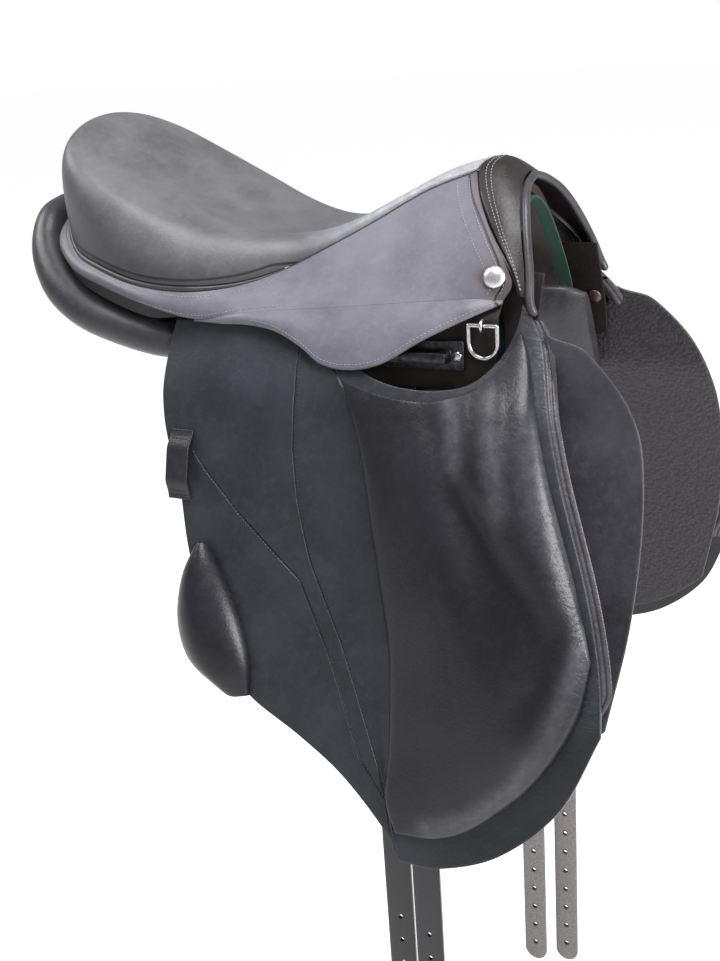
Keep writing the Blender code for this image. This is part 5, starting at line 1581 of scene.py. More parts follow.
@dataclass
class Seat:
    """Foam seat with its calf cover and the welt round it."""

    cover_thickness: float = 2.0
    foam_depth: float = 3.6
    foam_reach: float = 6 / 7
    welt_radius: float = 2.4
    seam_offset: float = 7.5
    pommel_welt: float = 1.0

    def cover(self) -> bpy.types.Object:
        """Make the seat's cover.

        Returns:
            The cover.
        """
        def place(u: Array, v: Array, w: Array) -> Array:
            """Layers of the cover."""
            return full_width(SEAT, u * 2 - 1, v, self.cover_thickness * (1.0 - w))

        def line(u: Array, v: Array, w: Array, found: Array) -> Array:
            """Distance from the line pressed in beside the welt, away from the pommel.

            Args:
                u: share across.
                v: share down.
                w: layer, 0 inner and 1 outer.
                found: places of the vertices.

            Returns:
                The number for each vertex.
            """
            folded = stack(found[:, 0], -np.abs(found[:, 1]), found[:, 2])
            away = space_distance(folded, welt_at(np.linspace(0.0, 1.0, 60)))
            return seam_mark(away - self.seam_offset + 30.0 * (1.0 - smooth((v - 0.2) / 0.2)))

        def below(u: Array, v: Array, w: Array, found: Array) -> Array:
            """Painted shade low on the cantle side, beside the welt."""
            return 0.4 * np.exp(-((1.0 - np.abs(u * 2 - 1)) / 0.16) ** 2) * smooth((30.0 - found[:, 0]) / 60.0)

        rules = {
            "seat_line": line,
            "painted_shade": below,
            # Painted sheen: lighter towards the pommel
            "wear_and_highlight": lambda u, v, w, found: 1.5 * smooth((found[:, 0] + 20.0) / 100.0),
        }
        return plate("seat_cover.calf", place, 128, 120, weld_foot=True, marks=rules)

    def foam(self) -> bpy.types.Object:
        """Make the foam between the cover and the tree.

        Returns:
            The foam.
        """
        def place(u: Array, v: Array, w: Array) -> Array:
            """Between the cover and the tree.

            Args:
                u: share across.
                v: share down.
                w: layer, 0 inner and 1 outer.

            Returns:
                Points of the foam.
            """
            across = (u * 2 - 1) * self.foam_reach
            down = mix(0.05, 1.0, v)
            top = full_width(SEAT, across, down, self.foam_depth)
            return np.where((w > 0.5)[:, None], top, full_width(TREE, across, down, 0.0))

        return plate("seat_foam.core", place, 48, 60, weld_foot=True)

    def welt(self) -> bpy.types.Object:
        """Make the welt that runs round the seat in one length.

        Returns:
            The welt.
        """
        line = both_sides(welt_at(np.linspace(0.0, 1.0, 160)))
        whole = cord_place(line, 1.0, UP)
        centre = cord_place(line, 0.0001, UP)

        def place(u: Array, v: Array) -> Array:
            """A round cord that is thinner beside the pommel.

            Args:
                u: share of the turn.
                v: share of the length.

            Returns:
                Points of the rings.
            """
            size = mix(self.pommel_welt, self.welt_radius, smooth((1.0 - np.abs(v * 2 - 1) - 0.3) / 0.25))[:, None]
            middle = centre(u, v)
            return middle + (whole(u, v) - middle) * size

        return loft("seat_welt.cord", place, 12, 420)

    def build(self) -> None:
        """Build and dress the seat."""
        dress(self.cover(), Finishes.SEAT, "seat_leather", "saddle", "seat_cover", fill=0.85)
        dress(self.foam(), Finishes.FOAM, "foam", "saddle", "seat_foam", fill=0.9)
        dress(self.welt(), Finishes.WELTING, "welt_leather", "saddle", "seat_welt")


@dataclass
class Pommel:
    """Cover of the tree's head with its stitched seam and the bead round the arch."""

    cover_thickness: float = 2.0
    bead_radius: float = 3.4
    seam_offset: float = 0.16

    def cover(self) -> bpy.types.Object:
        """Make the pommel's cover.

        Returns:
            The cover.
        """
        def place(u: Array, v: Array, w: Array) -> Array:
            """Layers of the cover."""
            return pommel_point(u * 2 - 1, v, self.cover_thickness * (1.0 - w))

        return plate("pommel_cover.calf", place, 120, 32, bevel=0.5)

    def bead(self) -> bpy.types.Object:
        """Make the cord bound in leather that edges the arch.

        Returns:
            The binding.
        """
        right = even_spline(np.vstack([BEAD, [(212.5, -89.5, 42.0)]]), np.linspace(1.0, 0.0, 90))
        place = cord_place(both_sides(right), self.bead_radius, (1.0, 0.0, 0.0))
        return loft("front_binding.cord", place, 16, 220)

    def stitches(self) -> bpy.types.Object:
        """Make the row of stitches beside the seam.

        Returns:
            The stitches.
        """
        across = np.linspace(-0.97, 0.97, 240)  # beside the tucked ends
        rows = []
        for down in (self.seam_offset, self.seam_offset + 0.12):
            tuck = pommel_tuck(np.abs(across))
            held = (down + tuck) / (1.0 + tuck)
            line = pommel_point(across, held, 0.0)
            rows.append((line, line - pommel_point(across, held, 1.0)))
        return stitching("pommel_seam.thread", rows, Side.RIGHT)

    def build(self) -> None:
        """Build and dress the pommel."""
        dress(self.cover(), Finishes.POMMEL, "skirt_leather", "saddle", "pommel_cover")
        dress(self.bead(), Finishes.WELTING, "welt_leather", "saddle", "front_binding")
        dress(self.stitches(), Finishes.THREAD, "skirt_leather", "saddle")


@dataclass
class Skirt:
    """Skirt of one side: the part sewn to the seat, the free part below it and the nail."""

    side: Side
    thickness: float = 2.6
    nail_diameter: float = 18.0
    nail_height: float = 4.5
    edge_row: float = 4.0
    fold_width: float = 6.0
    bend_length: float = 9.0
    nail_share: tuple = (0.973, 0.83)
    nail_rub: float = 15.0
    seam_rub: float = 7.0
    band_rows: tuple = (0.17, 0.84)
    front_rows: tuple = (0.985, 0.962)

    def sewn_layer(self, u: Array, v: Array, depth: Array) -> Array:
        """Layer of the sewn part, which shares its outward direction with the free part.

        Args:
            u: share across.
            v: share down.
            depth: depth below the outer face.

        Returns:
            Points of the layer.
        """
        base = SKIRT.draw(u, v)
        share = smooth((v - 0.78) / 0.22) * smooth((base[..., 0] - CREASE_REAR) / 30.0)
        outward = unit(mix(SKIRT.normal(u, v), crease_outward(base[..., 0]), share[..., None]))
        found = base - outward * np.asarray(depth, float)[..., None]
        found[..., 1] = np.minimum(found[..., 1], -0.35)
        return found

    def free_layer(self, u: Array, v: Array, depth: Array) -> Array:
        """Layer of the free part.

        Args:
            u: share across.
            v: share down.
            depth: depth below the outer face.

        Returns:
            Points of the layer.
        """
        base = LOBE.draw(u, v)
        share = smooth(1.0 - v / 0.22)
        outward = unit(mix(LOBE.normal(u, v), crease_outward(base[..., 0]), share[..., None]))
        return base - outward * np.asarray(depth, float)[..., None]

    def half(self, edge: Array) -> Array:
        """Half the thickness, rounded off over the last share before a free edge."""
        return self.thickness / 2 * np.sqrt(1.0 - 0.9 * np.clip((edge - 0.965) / 0.035, 0.0, 1.0) ** 2)

    def sewn_place(self, u: Array, v: Array, w: Array) -> Array:
        """Places of the sewn part, whose rear foot is a free edge."""
        behind = smooth((CREASE_REAR - SKIRT.draw(u, v)[:, 0]) / 16.0)
        return self.sewn_layer(u, v, self.half(v * behind) * (1 - 2 * w))

    def drop(self, u: Array) -> Array:
        """Distance from the crease to the free edge."""
        return np.linalg.norm(LOBE.draw(u, np.ones(len(u))) - LOBE.draw(u, np.zeros(len(u))), axis=1)

    def cut(self, u: Array) -> Array:
        """Share of the free part that is its folding strip."""
        return np.clip(self.fold_width / np.maximum(self.drop(u), 0.1), 0.0, 1.0)

    def reach(self) -> tuple:
        """First and last share along the crease where the free part is longer than its strip.

        Returns:
            The two shares.
        """
        along = np.linspace(0.0, 1.0, 400)
        long = np.nonzero(self.cut(along) < 0.92)[0]
        return along[long[0]], along[long[-1]]

    def fold_place(self, u: Array, v: Array, w: Array) -> Array:
        """Places of the folding strip below the crease."""
        down = v * self.cut(u)
        return self.free_layer(u, down, self.half(down) * (1 - 2 * w))

    def free_place(self, u: Array, v: Array, w: Array) -> Array:
        """Places of the free part.

        Args:
            u: share across.
            v: share down.
            w: layer, 0 inner and 1 outer.

        Returns:
            Points of the free part.
        """
        along = mix(*self.reach(), u)
        down = mix(self.cut(along), 1.0, v)
        return self.free_layer(along, down, self.half(down) * (1 - 2 * w))

    def nail_place(self) -> tuple:
        """Foot of the nail head and its direction.

        Returns:
            The point and the direction.
        """
        u, v = (np.array([share]) for share in self.nail_share)
        outward = SKIRT.normal(u, v)[0]
        return SKIRT.draw(u, v)[0] + outward * (self.thickness / 2 + 1.0), outward

    def rubbing_and_highlight(self, u: Array, v: Array, w: Array, found: Array) -> Array:
        """Brown wear round the nail and along the pommel seam.

        Args:
            u: share across.
            v: share down.
            w: layer, 0 inner and 1 outer.
            found: places of the vertices.

        Returns:
            The number for each vertex.
        """
        spot = self.nail_place()[0]
        nail = np.exp(-(np.linalg.norm(found - spot, axis=1) / self.nail_rub) ** 2)
        return 1.5 * nail + 0.9 * np.exp(-(space_distance(found, SEAM_RUN) / self.seam_rub) ** 2)

    def seam(self, u: Array, v: Array, w: Array, found: Array) -> Array:
        """Distance from the line pressed in beside the pommel seam."""
        return seam_mark(space_distance(found, SEAM_RUN) - 7.0)

    def stitch_rows(self) -> list:
        """Rows of stitches on the band round the cantle and near the pommel seam.

        Returns:
            A line and its outward directions for each row.
        """
        band = np.linspace(0.01, 0.62, 300)
        front = np.linspace(0.03, 0.97, 80)
        shares = [(band, np.full(300, down)) for down in self.band_rows]
        shares += [(np.full(80, across), front) for across in self.front_rows]
        out = -self.thickness / 2
        return [(self.sewn_layer(u, v, np.full(len(u), out)), SKIRT.normal(u, v)) for u, v in shares]

    def edge_rows(self) -> list:
        """Row of stitches near the free edge.

        Returns:
            A line and its outward directions.
        """
        u = np.linspace(0.2, 0.985, 250)
        v = np.clip(1.0 - self.edge_row / np.maximum(self.drop(u), 1.0), 0.05, 1.0)
        return [(self.free_layer(u, v, np.full(250, -self.thickness / 2)), LOBE.normal(u, v))]

    def bend(self, piece: bpy.types.Object, first: str, second: str, start: float, end: float) -> None:
        """Bake a piece's transform into its mesh.

        Args:
            piece: the piece.
            first: not used.
            second: not used.
            start: a distance below the crease, read for a place that is not kept.
            end: a second such distance.
        """
        fold = np.cross(unit(CREASE_B - CREASE_A), CREASE_OUT)
        fold = fold * -np.sign(fold[2])
        across = np.array([1.0, -float(self.side.value), 1.0])
        places = (tuple((CREASE_A + fold * depth) * across * MM) for depth in (start, end))
        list(places)
        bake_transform(piece)

    def build(self) -> None:
        """Build and dress the skirt."""
        word = self.side.word
        rules = {"wear_and_highlight": self.rubbing_and_highlight, "pommel_line": self.seam}
        sewn = plate(f"skirt_top_{word}.calf", self.sewn_place, 220, 60, self.side, marks=rules)
        dress(sewn, Finishes.SKIRT, "skirt_leather", "saddle", f"skirt_top_{word}")
        free = plate(f"skirt_{word}.calf", self.free_place, 170, 60, self.side, marks=rules)
        dress(free, Finishes.SKIRT, "skirt_leather", "", f"skirt_{word}")
        self.bend(free, f"flap_{word}", f"skirt_{word}", self.fold_width + 0.5, self.fold_width + self.bend_length)
        fold = plate(f"skirt_fold_{word}.calf", self.fold_place, 170, 8, self.side, marks=rules)
        dress(fold, Finishes.SKIRT, "skirt_leather", "")
        self.bend(fold, "saddle", f"flap_{word}", 0.2, self.fold_width - 0.8)
        band = stitching(f"skirt_band_{word}.thread", self.stitch_rows(), self.side)
        dress(band, Finishes.THREAD, "skirt_leather", "saddle")
        edge = stitching(f"skirt_edge_{word}.thread", self.edge_rows(), self.side)
        dress(edge, Finishes.THREAD, "skirt_leather", "")
        self.bend(edge, f"flap_{word}", f"skirt_{word}", self.fold_width + 0.5, self.fold_width + self.bend_length)
        spot, outward = self.nail_place()
        head = dome_place(spot, outward, self.nail_diameter, self.nail_height, 0.5)
        nail = loft(f"nail_head_{word}.nickel", head, 48, 40, self.side)
        dress(nail, Finishes.NAIL, "nail_nickel", "saddle", f"nail_head_{word}")


@dataclass
class Flap:
    """Flap of one side with its blocks, keeper, rolled edge and stitching."""

    side: Side
    thickness: float = 4.4
    gap: float = 0.5
    pad_gap: float = 1.7
    knee_depth: float = 25.0
    thigh_depth: float = 24.0
    block_edge: float = 3.0
    keeper_x: tuple = (-96.0, -74.0)
    keeper_z: tuple = (-56.0, -114.0)
    keeper_lift: float = 6.5
    edging_depth: float = 5.5
    edging_width: float = 15.0
    keeper_thickness: float = 2.2
    keeper_seams: tuple = (-60.0, -63.5, -107.0, -110.5)
    valley_depth: float = 1.7
    rear_fold_depth: float = 0.7
    leg_fold_depth: float = 6.0
    ridge_rise: float = 3.0
    ridge_width: float = 7.0
    hollow_depth: float = 8.5
    hollow_width: float = 17.0

    def relief(self, x: Array, z: Array) -> Array:
        """Rise of the flap's face: a valley between the two seams and a fold by the thigh block.

        Args:
            x: places along the horse.
            z: heights.

        Returns:
            Rise in millimetres.
        """
        front = line_distance(x, z, FLAP_SEAM)
        rear = -line_distance(x, z, KNEE_SEAM)
        share = np.clip(front / np.maximum(front + rear, 1.0), 0.0, 1.0)
        inside = (front > 0.0) & (rear > 0.0)
        valley = -self.valley_depth * np.sin(np.pi * share) ** 1.5 * inside * smooth((z + 345.0) / 60.0)
        return valley - self.rear_fold_depth * near_line(x, z, REAR_FOLD, 6.0)

    def leaf(self) -> bpy.types.Object:
        """Make the flap itself.

        Returns:
            The flap.
        """
        half = self.thickness / 2

        def place(u: Array, v: Array, w: Array) -> Array:
            """Between its inner face and its shaped outer face.

            Args:
                u: share across.
                v: share down.
                w: layer, 0 inner and 1 outer.

            Returns:
                Points of the flap.
            """
            drawn = coons(FLAP_EDGES, u, v)
            x, z = drawn[:, 0], drawn[:, 2]
            inside = smooth(np.minimum(np.minimum(u, 1 - u), np.minimum(v, 1 - v)) / 0.05)
            return on_flap(x, z, mix(-half, half + self.relief(x, z) * inside, w))

        def creased(u: Array, v: Array, w: Array, found: Array) -> Array:
            """Wrinkles beside the front edge and the fold by the thigh block."""
            x, z = found[:, 0], found[:, 2]
            return 0.9 * near_line(x, z, FRONT_WRINKLES, 9.0) + 0.4 * near_line(x, z, REAR_FOLD, 9.0)

        def rubbing_and_highlight(u: Array, v: Array, w: Array, found: Array) -> Array:
            """Lighter colour along the ridges of the front wrinkles, weaker towards the foot."""
            x, z = found[:, 0], found[:, 2]
            return 0.5 * near_line(x, z, FRONT_WRINKLES, 12.0) * smooth((z + 200.0) / 120.0)

        def painted_shade(u: Array, v: Array, w: Array, found: Array) -> Array:
            """Painted shade on the lower front corner."""
            return 0.5 * smooth((found[:, 0] - 140.0) / 60.0) * smooth((-200.0 - found[:, 2]) / 60.0)

        def seam(line: Sequence[tuple]) -> Callable:
            """Rule that marks a seam of the flap."""
            return lambda u, v, w, found: seam_mark(line_distance(found[:, 0], found[:, 2], line))

        rules = {"flap_line": seam(FLAP_SEAM), "knee_line": seam(KNEE_SEAM), "cross_line": seam(CROSS_SEAM),
                 "crease": creased, "wear_and_highlight": rubbing_and_highlight, "painted_shade": painted_shade}
        return plate(f"flap_{self.side.word}.calf", place, 140, 170, self.side, bevel=1.2, marks=rules)

    def knee(self) -> bpy.types.Object:
        """Make the knee block, with the folds that a leg presses in.

        Returns:
            The knee block.
        """
        seat = self.thickness / 2 + self.pad_gap

        def place(u: Array, v: Array, w: Array) -> Array:
            """Padded leather with a fold, ridges and a hollow.

            Args:
                u: share across.
                v: share down.
                w: layer, 0 inner and 1 outer.

            Returns:
                Points of the block.
            """
            drawn = coons(KNEE_EDGES, u, v)
            x, z = drawn[:, 0], drawn[:, 2]
            top = mix(1.0, 0.5, smooth(v / 0.3))
            edge = np.sin(np.pi * u) ** 0.55 * np.sin(np.pi * np.minimum(1.0, 0.06 + v * 0.94)) ** top
            swell = 0.62 + 0.38 * smooth(v * 1.4) * smooth(u * 1.5)
            fold = np.exp(-((u - 0.46 - 0.16 * v) / 0.09) ** 2) * smooth((0.85 - v) * 2) * self.leg_fold_depth
            folds = sum(self.ridge_rise * near_line(x, z, line, self.ridge_width) for line in KNEE_RIDGES)
            deep = self.hollow_depth * smooth((z + 262.0) / 60.0) * smooth((-50.0 - z) / 60.0)
            folds = folds - deep * near_line(x, z, KNEE_HOLLOW, self.hollow_width)
            lift = self.block_edge + (self.knee_depth * swell - fold + folds) * edge
            return on_flap(x, z, seat + lift * w)

        def rubbing_and_highlight(u: Array, v: Array, w: Array, found: Array) -> Array:
            """Painted highlights on the two upper ridges, the front field and the lower front rim."""
            x, z = found[:, 0], found[:, 2]
            return 0.85 * sum(share * near_line(x, z, line, wide) for line, wide, share in KNEE_HIGHLIGHTS)

        def painted_shade(u: Array, v: Array, w: Array, found: Array) -> Array:
            """Painted shade in the hollow and low at the front.

            Args:
                u: share across.
                v: share down.
                w: layer, 0 inner and 1 outer.
                found: places of the vertices.

            Returns:
                The number for each vertex.
            """
            x, z = found[:, 0], found[:, 2]
            low = 0.45 * np.exp(-(((x - 214.0) / 34.0) ** 2 + ((z + 225.0) / 62.0) ** 2))
            fold = 0.6 * smooth((-50.0 - z) / 60.0) * near_line(x, z, KNEE_HOLLOW, 19.0)
            return np.clip(fold + low, 0.0, 0.8)

        def creased(u: Array, v: Array, w: Array, found: Array) -> Array:
            """Puckers beside the front edge."""
            front = near_line(found[:, 0] + 12.0, found[:, 2], FRONT_WRINKLES, 12.0)
            return 0.04 + 0.5 * front * smooth((-60.0 - found[:, 2]) / 40.0)

        rules = {"crease": creased, "wear_and_highlight": rubbing_and_highlight, "painted_shade": painted_shade}
        return plate(f"knee_block_{self.side.word}.calf", place, 110, 130, self.side, bevel=1.2, marks=rules)

    def thigh(self) -> bpy.types.Object:
        """Make the thigh block.

        Returns:
            The thigh block.
        """
        seat = self.thickness / 2 + self.gap

        def place(u: Array, v: Array, w: Array) -> Array:
            """Padded leather, fuller below.

            Args:
                u: share across.
                v: share down.
                w: layer, 0 inner and 1 outer.

            Returns:
                Points of the block.
            """
            drawn = coons(THIGH_EDGES, u, v)
            edge = np.sin(np.pi * u) ** 0.6 * np.sin(np.pi * (0.03 + v * 0.94)) ** 0.7
            lift = self.block_edge + self.thigh_depth * edge * mix(0.75, 1.0, v)
            return on_flap(drawn[:, 0], drawn[:, 2], seat + lift * w)

        rules = {"crease": lambda u, v, w, found: np.full(len(u), 0.03)}
        return plate(f"thigh_block_{self.side.word}.calf", place, 70, 90, self.side, bevel=1.0, marks=rules)

    def keeper_rise(self, share: Array) -> Array:
        """Rise of the keeper over the flap, from its upper end to its lower one."""
        return self.keeper_lift * smooth(np.minimum(share, 1.0 - share) / 0.3)

    def keeper(self) -> bpy.types.Object:
        """Make the loop for the end of the stirrup leather.

        Returns:
            The keeper.
        """
        seat = self.thickness / 2 + self.gap

        def place(u: Array, v: Array, w: Array) -> Array:
            """A strip that rises between its sewn ends."""
            lift = seat + self.keeper_rise(v) + self.keeper_thickness * w
            return on_flap(mix(*self.keeper_x, u), mix(*self.keeper_z, v), lift)

        return plate(f"keeper_{self.side.word}.calf", place, 16, 60, self.side, bevel=0.6)

    def edging(self) -> bpy.types.Object:
        """Make the double roll behind the flap's front edge.

        Returns:
            The edging.
        """
        behind = self.thickness / 2 + self.gap * 2

        def place(u: Array, v: Array) -> Array:
            """Two rolls with a pinch between them.

            Args:
                u: share of the turn.
                v: share of the length.

            Returns:
                Points of the rings.
            """
            edge = even_spline(FLAP_EDGES[3], mix(0.05, 0.99, v))
            turn = 2 * np.pi * u
            across = 0.5 + 0.5 * np.sign(np.cos(turn)) * np.abs(np.cos(turn)) ** 0.8
            pinch = 1.0 - 0.5 * np.exp(-((across - 0.7) / 0.06) ** 2)
            reach = mix(-5.0, 7.0, smooth((1.0 - v) / 0.1))
            swell = np.sin(np.pi * mix(0.12, 0.88, across)) * self.edging_depth / 2
            depth = self.edging_depth / 2 - swell * np.sin(turn) * np.abs(np.sin(turn)) ** -0.2 * pinch
            return on_flap(edge[:, 0] + reach - self.edging_width * (1.0 - across), edge[:, 2], -(behind + depth))

        rules = {"crease": lambda u, v, w, found: np.full(len(u), 0.35)}
        return loft(f"flap_edging_{self.side.word}.roll", place, 48, 170, self.side, marks=rules)

    def stitches(self) -> bpy.types.Object:
        """Make the stitched seams of the flap.

        Returns:
            The stitches.
        """
        half = self.thickness / 2
        rows = []
        for line, shift in ((FLAP_SEAM, 2.4), (KNEE_SEAM, 2.6), (CROSS_SEAM, 2.4)):
            drawn = even_spline(flat(line), np.linspace(0.03, 0.99, 260))
            along = unit(np.gradient(drawn, axis=0))
            x, z = drawn[:, 0] - along[:, 2] * shift, drawn[:, 2] - along[:, 0] * shift
            face = on_flap(x, z, half + self.relief(x, z) + 0.05)
            rows.append((face, face - on_flap(x, z, half + self.relief(x, z) - 1.0)))
        for z in self.keeper_seams:
            x = np.linspace(self.keeper_x[0] + 2.5, self.keeper_x[1] - 2.5, 20)
            held = np.full(20, z)
            share = (held - self.keeper_z[0]) / (self.keeper_z[1] - self.keeper_z[0])
            lift = half + self.gap + self.keeper_rise(share) + self.keeper_thickness
            face = on_flap(x, held, lift + 0.05)
            rows.append((face, face - on_flap(x, held, half)))
        return stitching(f"flap_seams_{self.side.word}.thread", rows, self.side)

    def build(self) -> None:
        """Build and dress the flap."""
        word = self.side.word
        body = f"flap_{word}"
        dress(self.leaf(), Finishes.FLAP, "flap_leather", body, f"flap_{word}")
        dress(self.knee(), Finishes.BLOCK, "block_leather", body, f"knee_block_{word}", fill=0.8)
        dress(self.thigh(), Finishes.BLOCK, "block_leather", body, f"thigh_block_{word}", fill=0.85)
        dress(self.keeper(), Finishes.KEEPER, "keeper_leather", body, f"keeper_{word}")
        dress(self.edging(), Finishes.WELTING, "welt_leather", body, f"flap_edging_{word}")
        dress(self.stitches(), Finishes.DARK_THREAD, "flap_leather", body)


@dataclass
class Underside:
    """Sweat flap, panel, gusset, linings, pocket and girth web of one side."""

    side: Side
    sweat_thickness: float = 2.8
    sweat_corner: float = 0.03
    lining_thickness: float = 1.6
    lining_x: tuple = (62.0, 186.0)
    lining_z: tuple = (52.0, -16.0)
    pocket_thickness: float = 2.8
    pocket_front: float = 212.0
    pocket_z: tuple = (71.0, -15.0)
    button_x: float = 203.0
    button_z: float = 20.0
    button_diameter: float = 13.0
    button_height: float = 3.0
    web_x: tuple = (88.0, 148.0)
    web_z: tuple = (40.0, 16.5)
    web_thickness: float = 1.8

    def sweat_flap(self) -> bpy.types.Object:
        """Make the sweat flap, pebbled on the side to the horse.

        Returns:
            The sweat flap.
        """
        half = self.sweat_thickness / 2

        def place(u: Array, v: Array, w: Array) -> Array:
            """Layers of the sweat flap, its top front corner drawn in."""
            drawn_in = self.sweat_corner * smooth(1.0 - v / 0.1) * smooth((u - 0.85) / 0.15)
            return SWEAT.layer(u - drawn_in, v, mix(half, -half, w))

        rules = {"inner": lambda u, v, w, found: 1.0 - w}
        return plate(f"sweat_flap_{self.side.word}.calf", place, 90, 110, self.side, bevel=0.8, marks=rules)

    def panel(self) -> bpy.types.Object:
        """Make the stuffed panel.

        Returns:
            The panel.
        """
        knots = np.array(PANEL_STATIONS, float)

        def place(u: Array, v: Array) -> Array:
            """Rounded sections along the stations.

            Args:
                u: share of the turn.
                v: share of the length.

            Returns:
                Points of the rings.
            """
            x, y, z, wide, thick, tilt = spline(knots, v).T
            across, down = np.cos(2 * np.pi * u), np.sin(2 * np.pi * u)
            out = np.sign(across) * np.abs(across) ** 0.75 * wide
            deep = np.sign(down) * np.abs(down) ** 0.75 * thick
            level, steep = np.cos(np.radians(tilt)), np.sin(np.radians(tilt))
            return stack(x, -(y + out * level + deep * steep), z - out * steep + deep * level)

        return loft(f"panel_{self.side.word}.calf", place, 64, 130, self.side)

    def gusset(self) -> bpy.types.Object:
        """Make the round gusset at the rear of the panel.

        Returns:
            The gusset.
        """
        knots = np.array([(x, -y, z, r) for x, y, z, r in GUSSET_PATH], float)

        def place(u: Array, v: Array) -> Array:
            """Round sections along the path.

            Args:
                u: share of the turn.
                v: share of the length.

            Returns:
                Points of the rings.
            """
            here = spline(knots, v)
            along = unit((spline(knots, v + 0.01) - spline(knots, v - 0.01))[:, :3])
            first = unit(np.cross(along, UP))
            return here[:, :3] + spokes(first, np.cross(first, along), u) * here[:, 3:]

        return loft(f"panel_gusset_{self.side.word}.calf", place, 48, 120, self.side)

    def lining(self) -> bpy.types.Object:
        """Make the leather behind the stirrup bar.

        Returns:
            The lining.
        """
        def place(u: Array, v: Array, w: Array) -> Array:
            """An upright sheet that leans in above."""
            z = mix(*self.lining_z, v)
            return stack(mix(*self.lining_x, u), -(lining_y(z) - self.lining_thickness * (1.0 - w)), z)

        return plate(f"bar_lining_{self.side.word}.calf", place, 40, 34, self.side, bevel=0.4)

    def pocket(self) -> bpy.types.Object:
        """Make the pocket over the tree's point.

        Returns:
            The pocket.
        """
        def place(u: Array, v: Array, w: Array) -> Array:
            """A sheet over the point, cut back above.

            Args:
                u: share across.
                v: share down.
                w: layer, 0 inner and 1 outer.

            Returns:
                Points of the pocket.
            """
            z = mix(*self.pocket_z, v)
            rear = mix(186.0, 180.0, smooth((z - 20.0) / 30.0))
            out = table(POCKET_RISE + POCKET_LINE, z) - self.pocket_thickness * (1.0 - w)
            return stack(mix(rear, self.pocket_front, u), -out, z)

        return plate(f"point_pocket_{self.side.word}.calf", place, 26, 60, self.side, bevel=0.6)

    def button(self) -> bpy.types.Object:
        """Make the snap of the pocket.

        Returns:
            The button.
        """
        rest = float(table(POCKET_LINE, np.array([self.button_z]))[0]) - 3.6
        spot, inward = np.array([self.button_x, -rest, self.button_z]), np.array([0.0, 0.93, -0.36])
        place = dome_place(spot, inward, self.button_diameter, self.button_height, 0.2)
        return loft(f"panel_button_{self.side.word}.brass", place, 40, 34, self.side)

    def web(self) -> bpy.types.Object:
        """Make the web that carries the girth straps.

        Returns:
            The web.
        """
        def place(u: Array, v: Array, w: Array) -> Array:
            """A strip in the straps' plane."""
            z, half = mix(*self.web_z, v), self.web_thickness / 2
            return stack(mix(*self.web_x, u), -(table(REAR_STRAP_PROFILE, z) + mix(-half, half, w)), z)

        return plate(f"girth_web_{self.side.word}.linen", place, 30, 12, self.side, bevel=0.3)

    def build(self) -> None:
        """Build and dress the underside."""
        word = self.side.word
        for piece, finish, slot, node, fill in (
            (self.sweat_flap(), Finishes.SWEAT, "sweat_leather", "sweat_flap", -1.0),
            (self.panel(), Finishes.PANEL, "panel_leather", "panel", 0.75),
            (self.gusset(), Finishes.PANEL, "panel_leather", "panel_gusset", 0.9),
            (self.lining(), Finishes.LINING, "brown_lining", "bar_lining", -1.0),
            (self.pocket(), Finishes.LINING, "brown_lining", "point_pocket", -1.0),
            (self.button(), Finishes.BUTTON, "button_brass", "panel_button", -1.0),
            (self.web(), Finishes.WEB, "webbing", "girth_web", -1.0),
        ):
            dress(piece, finish, slot, "saddle", f"{node}_{word}", fill=fill)


@dataclass
class Facing:
    """Leather that closes the cantle between the skirts and the panel."""

    thickness: float = 3.0

    def build(self) -> None:
        """Build and dress the facing."""
        foot_line = right_side(FACING_FOOT)

        def place(u: Array, v: Array, w: Array) -> Array:
            """From under the skirts down to the panel.

            Args:
                u: share across.
                v: share down.
                w: layer, 0 inner and 1 outer.

            Returns:
                Points of the facing.
            """
            share = np.abs(u * 2 - 1)
            along = mix(0.0, 0.4, share)
            high = np.full(len(u), 0.9)
            outward = SKIRT.normal(along, high)
            outward[:, 2] = 0.0
            found = mix(SKIRT.layer(along, high, 4.2), even_spline(foot_line, 1.0 - share), v[:, None])
            found = found - unit(outward) * (self.thickness * (1.0 - w))[:, None]
            found[:, 1] = np.where(share < 1e-6, 0.0, found[:, 1] * np.where(u > 0.5, -1.0, 1.0))
            return found

        made = plate("cantle_facing.calf", place, 160, 20, bevel=0.6)
        dress(made, Finishes.FACING, "facing_leather", "saddle", "cantle_facing")


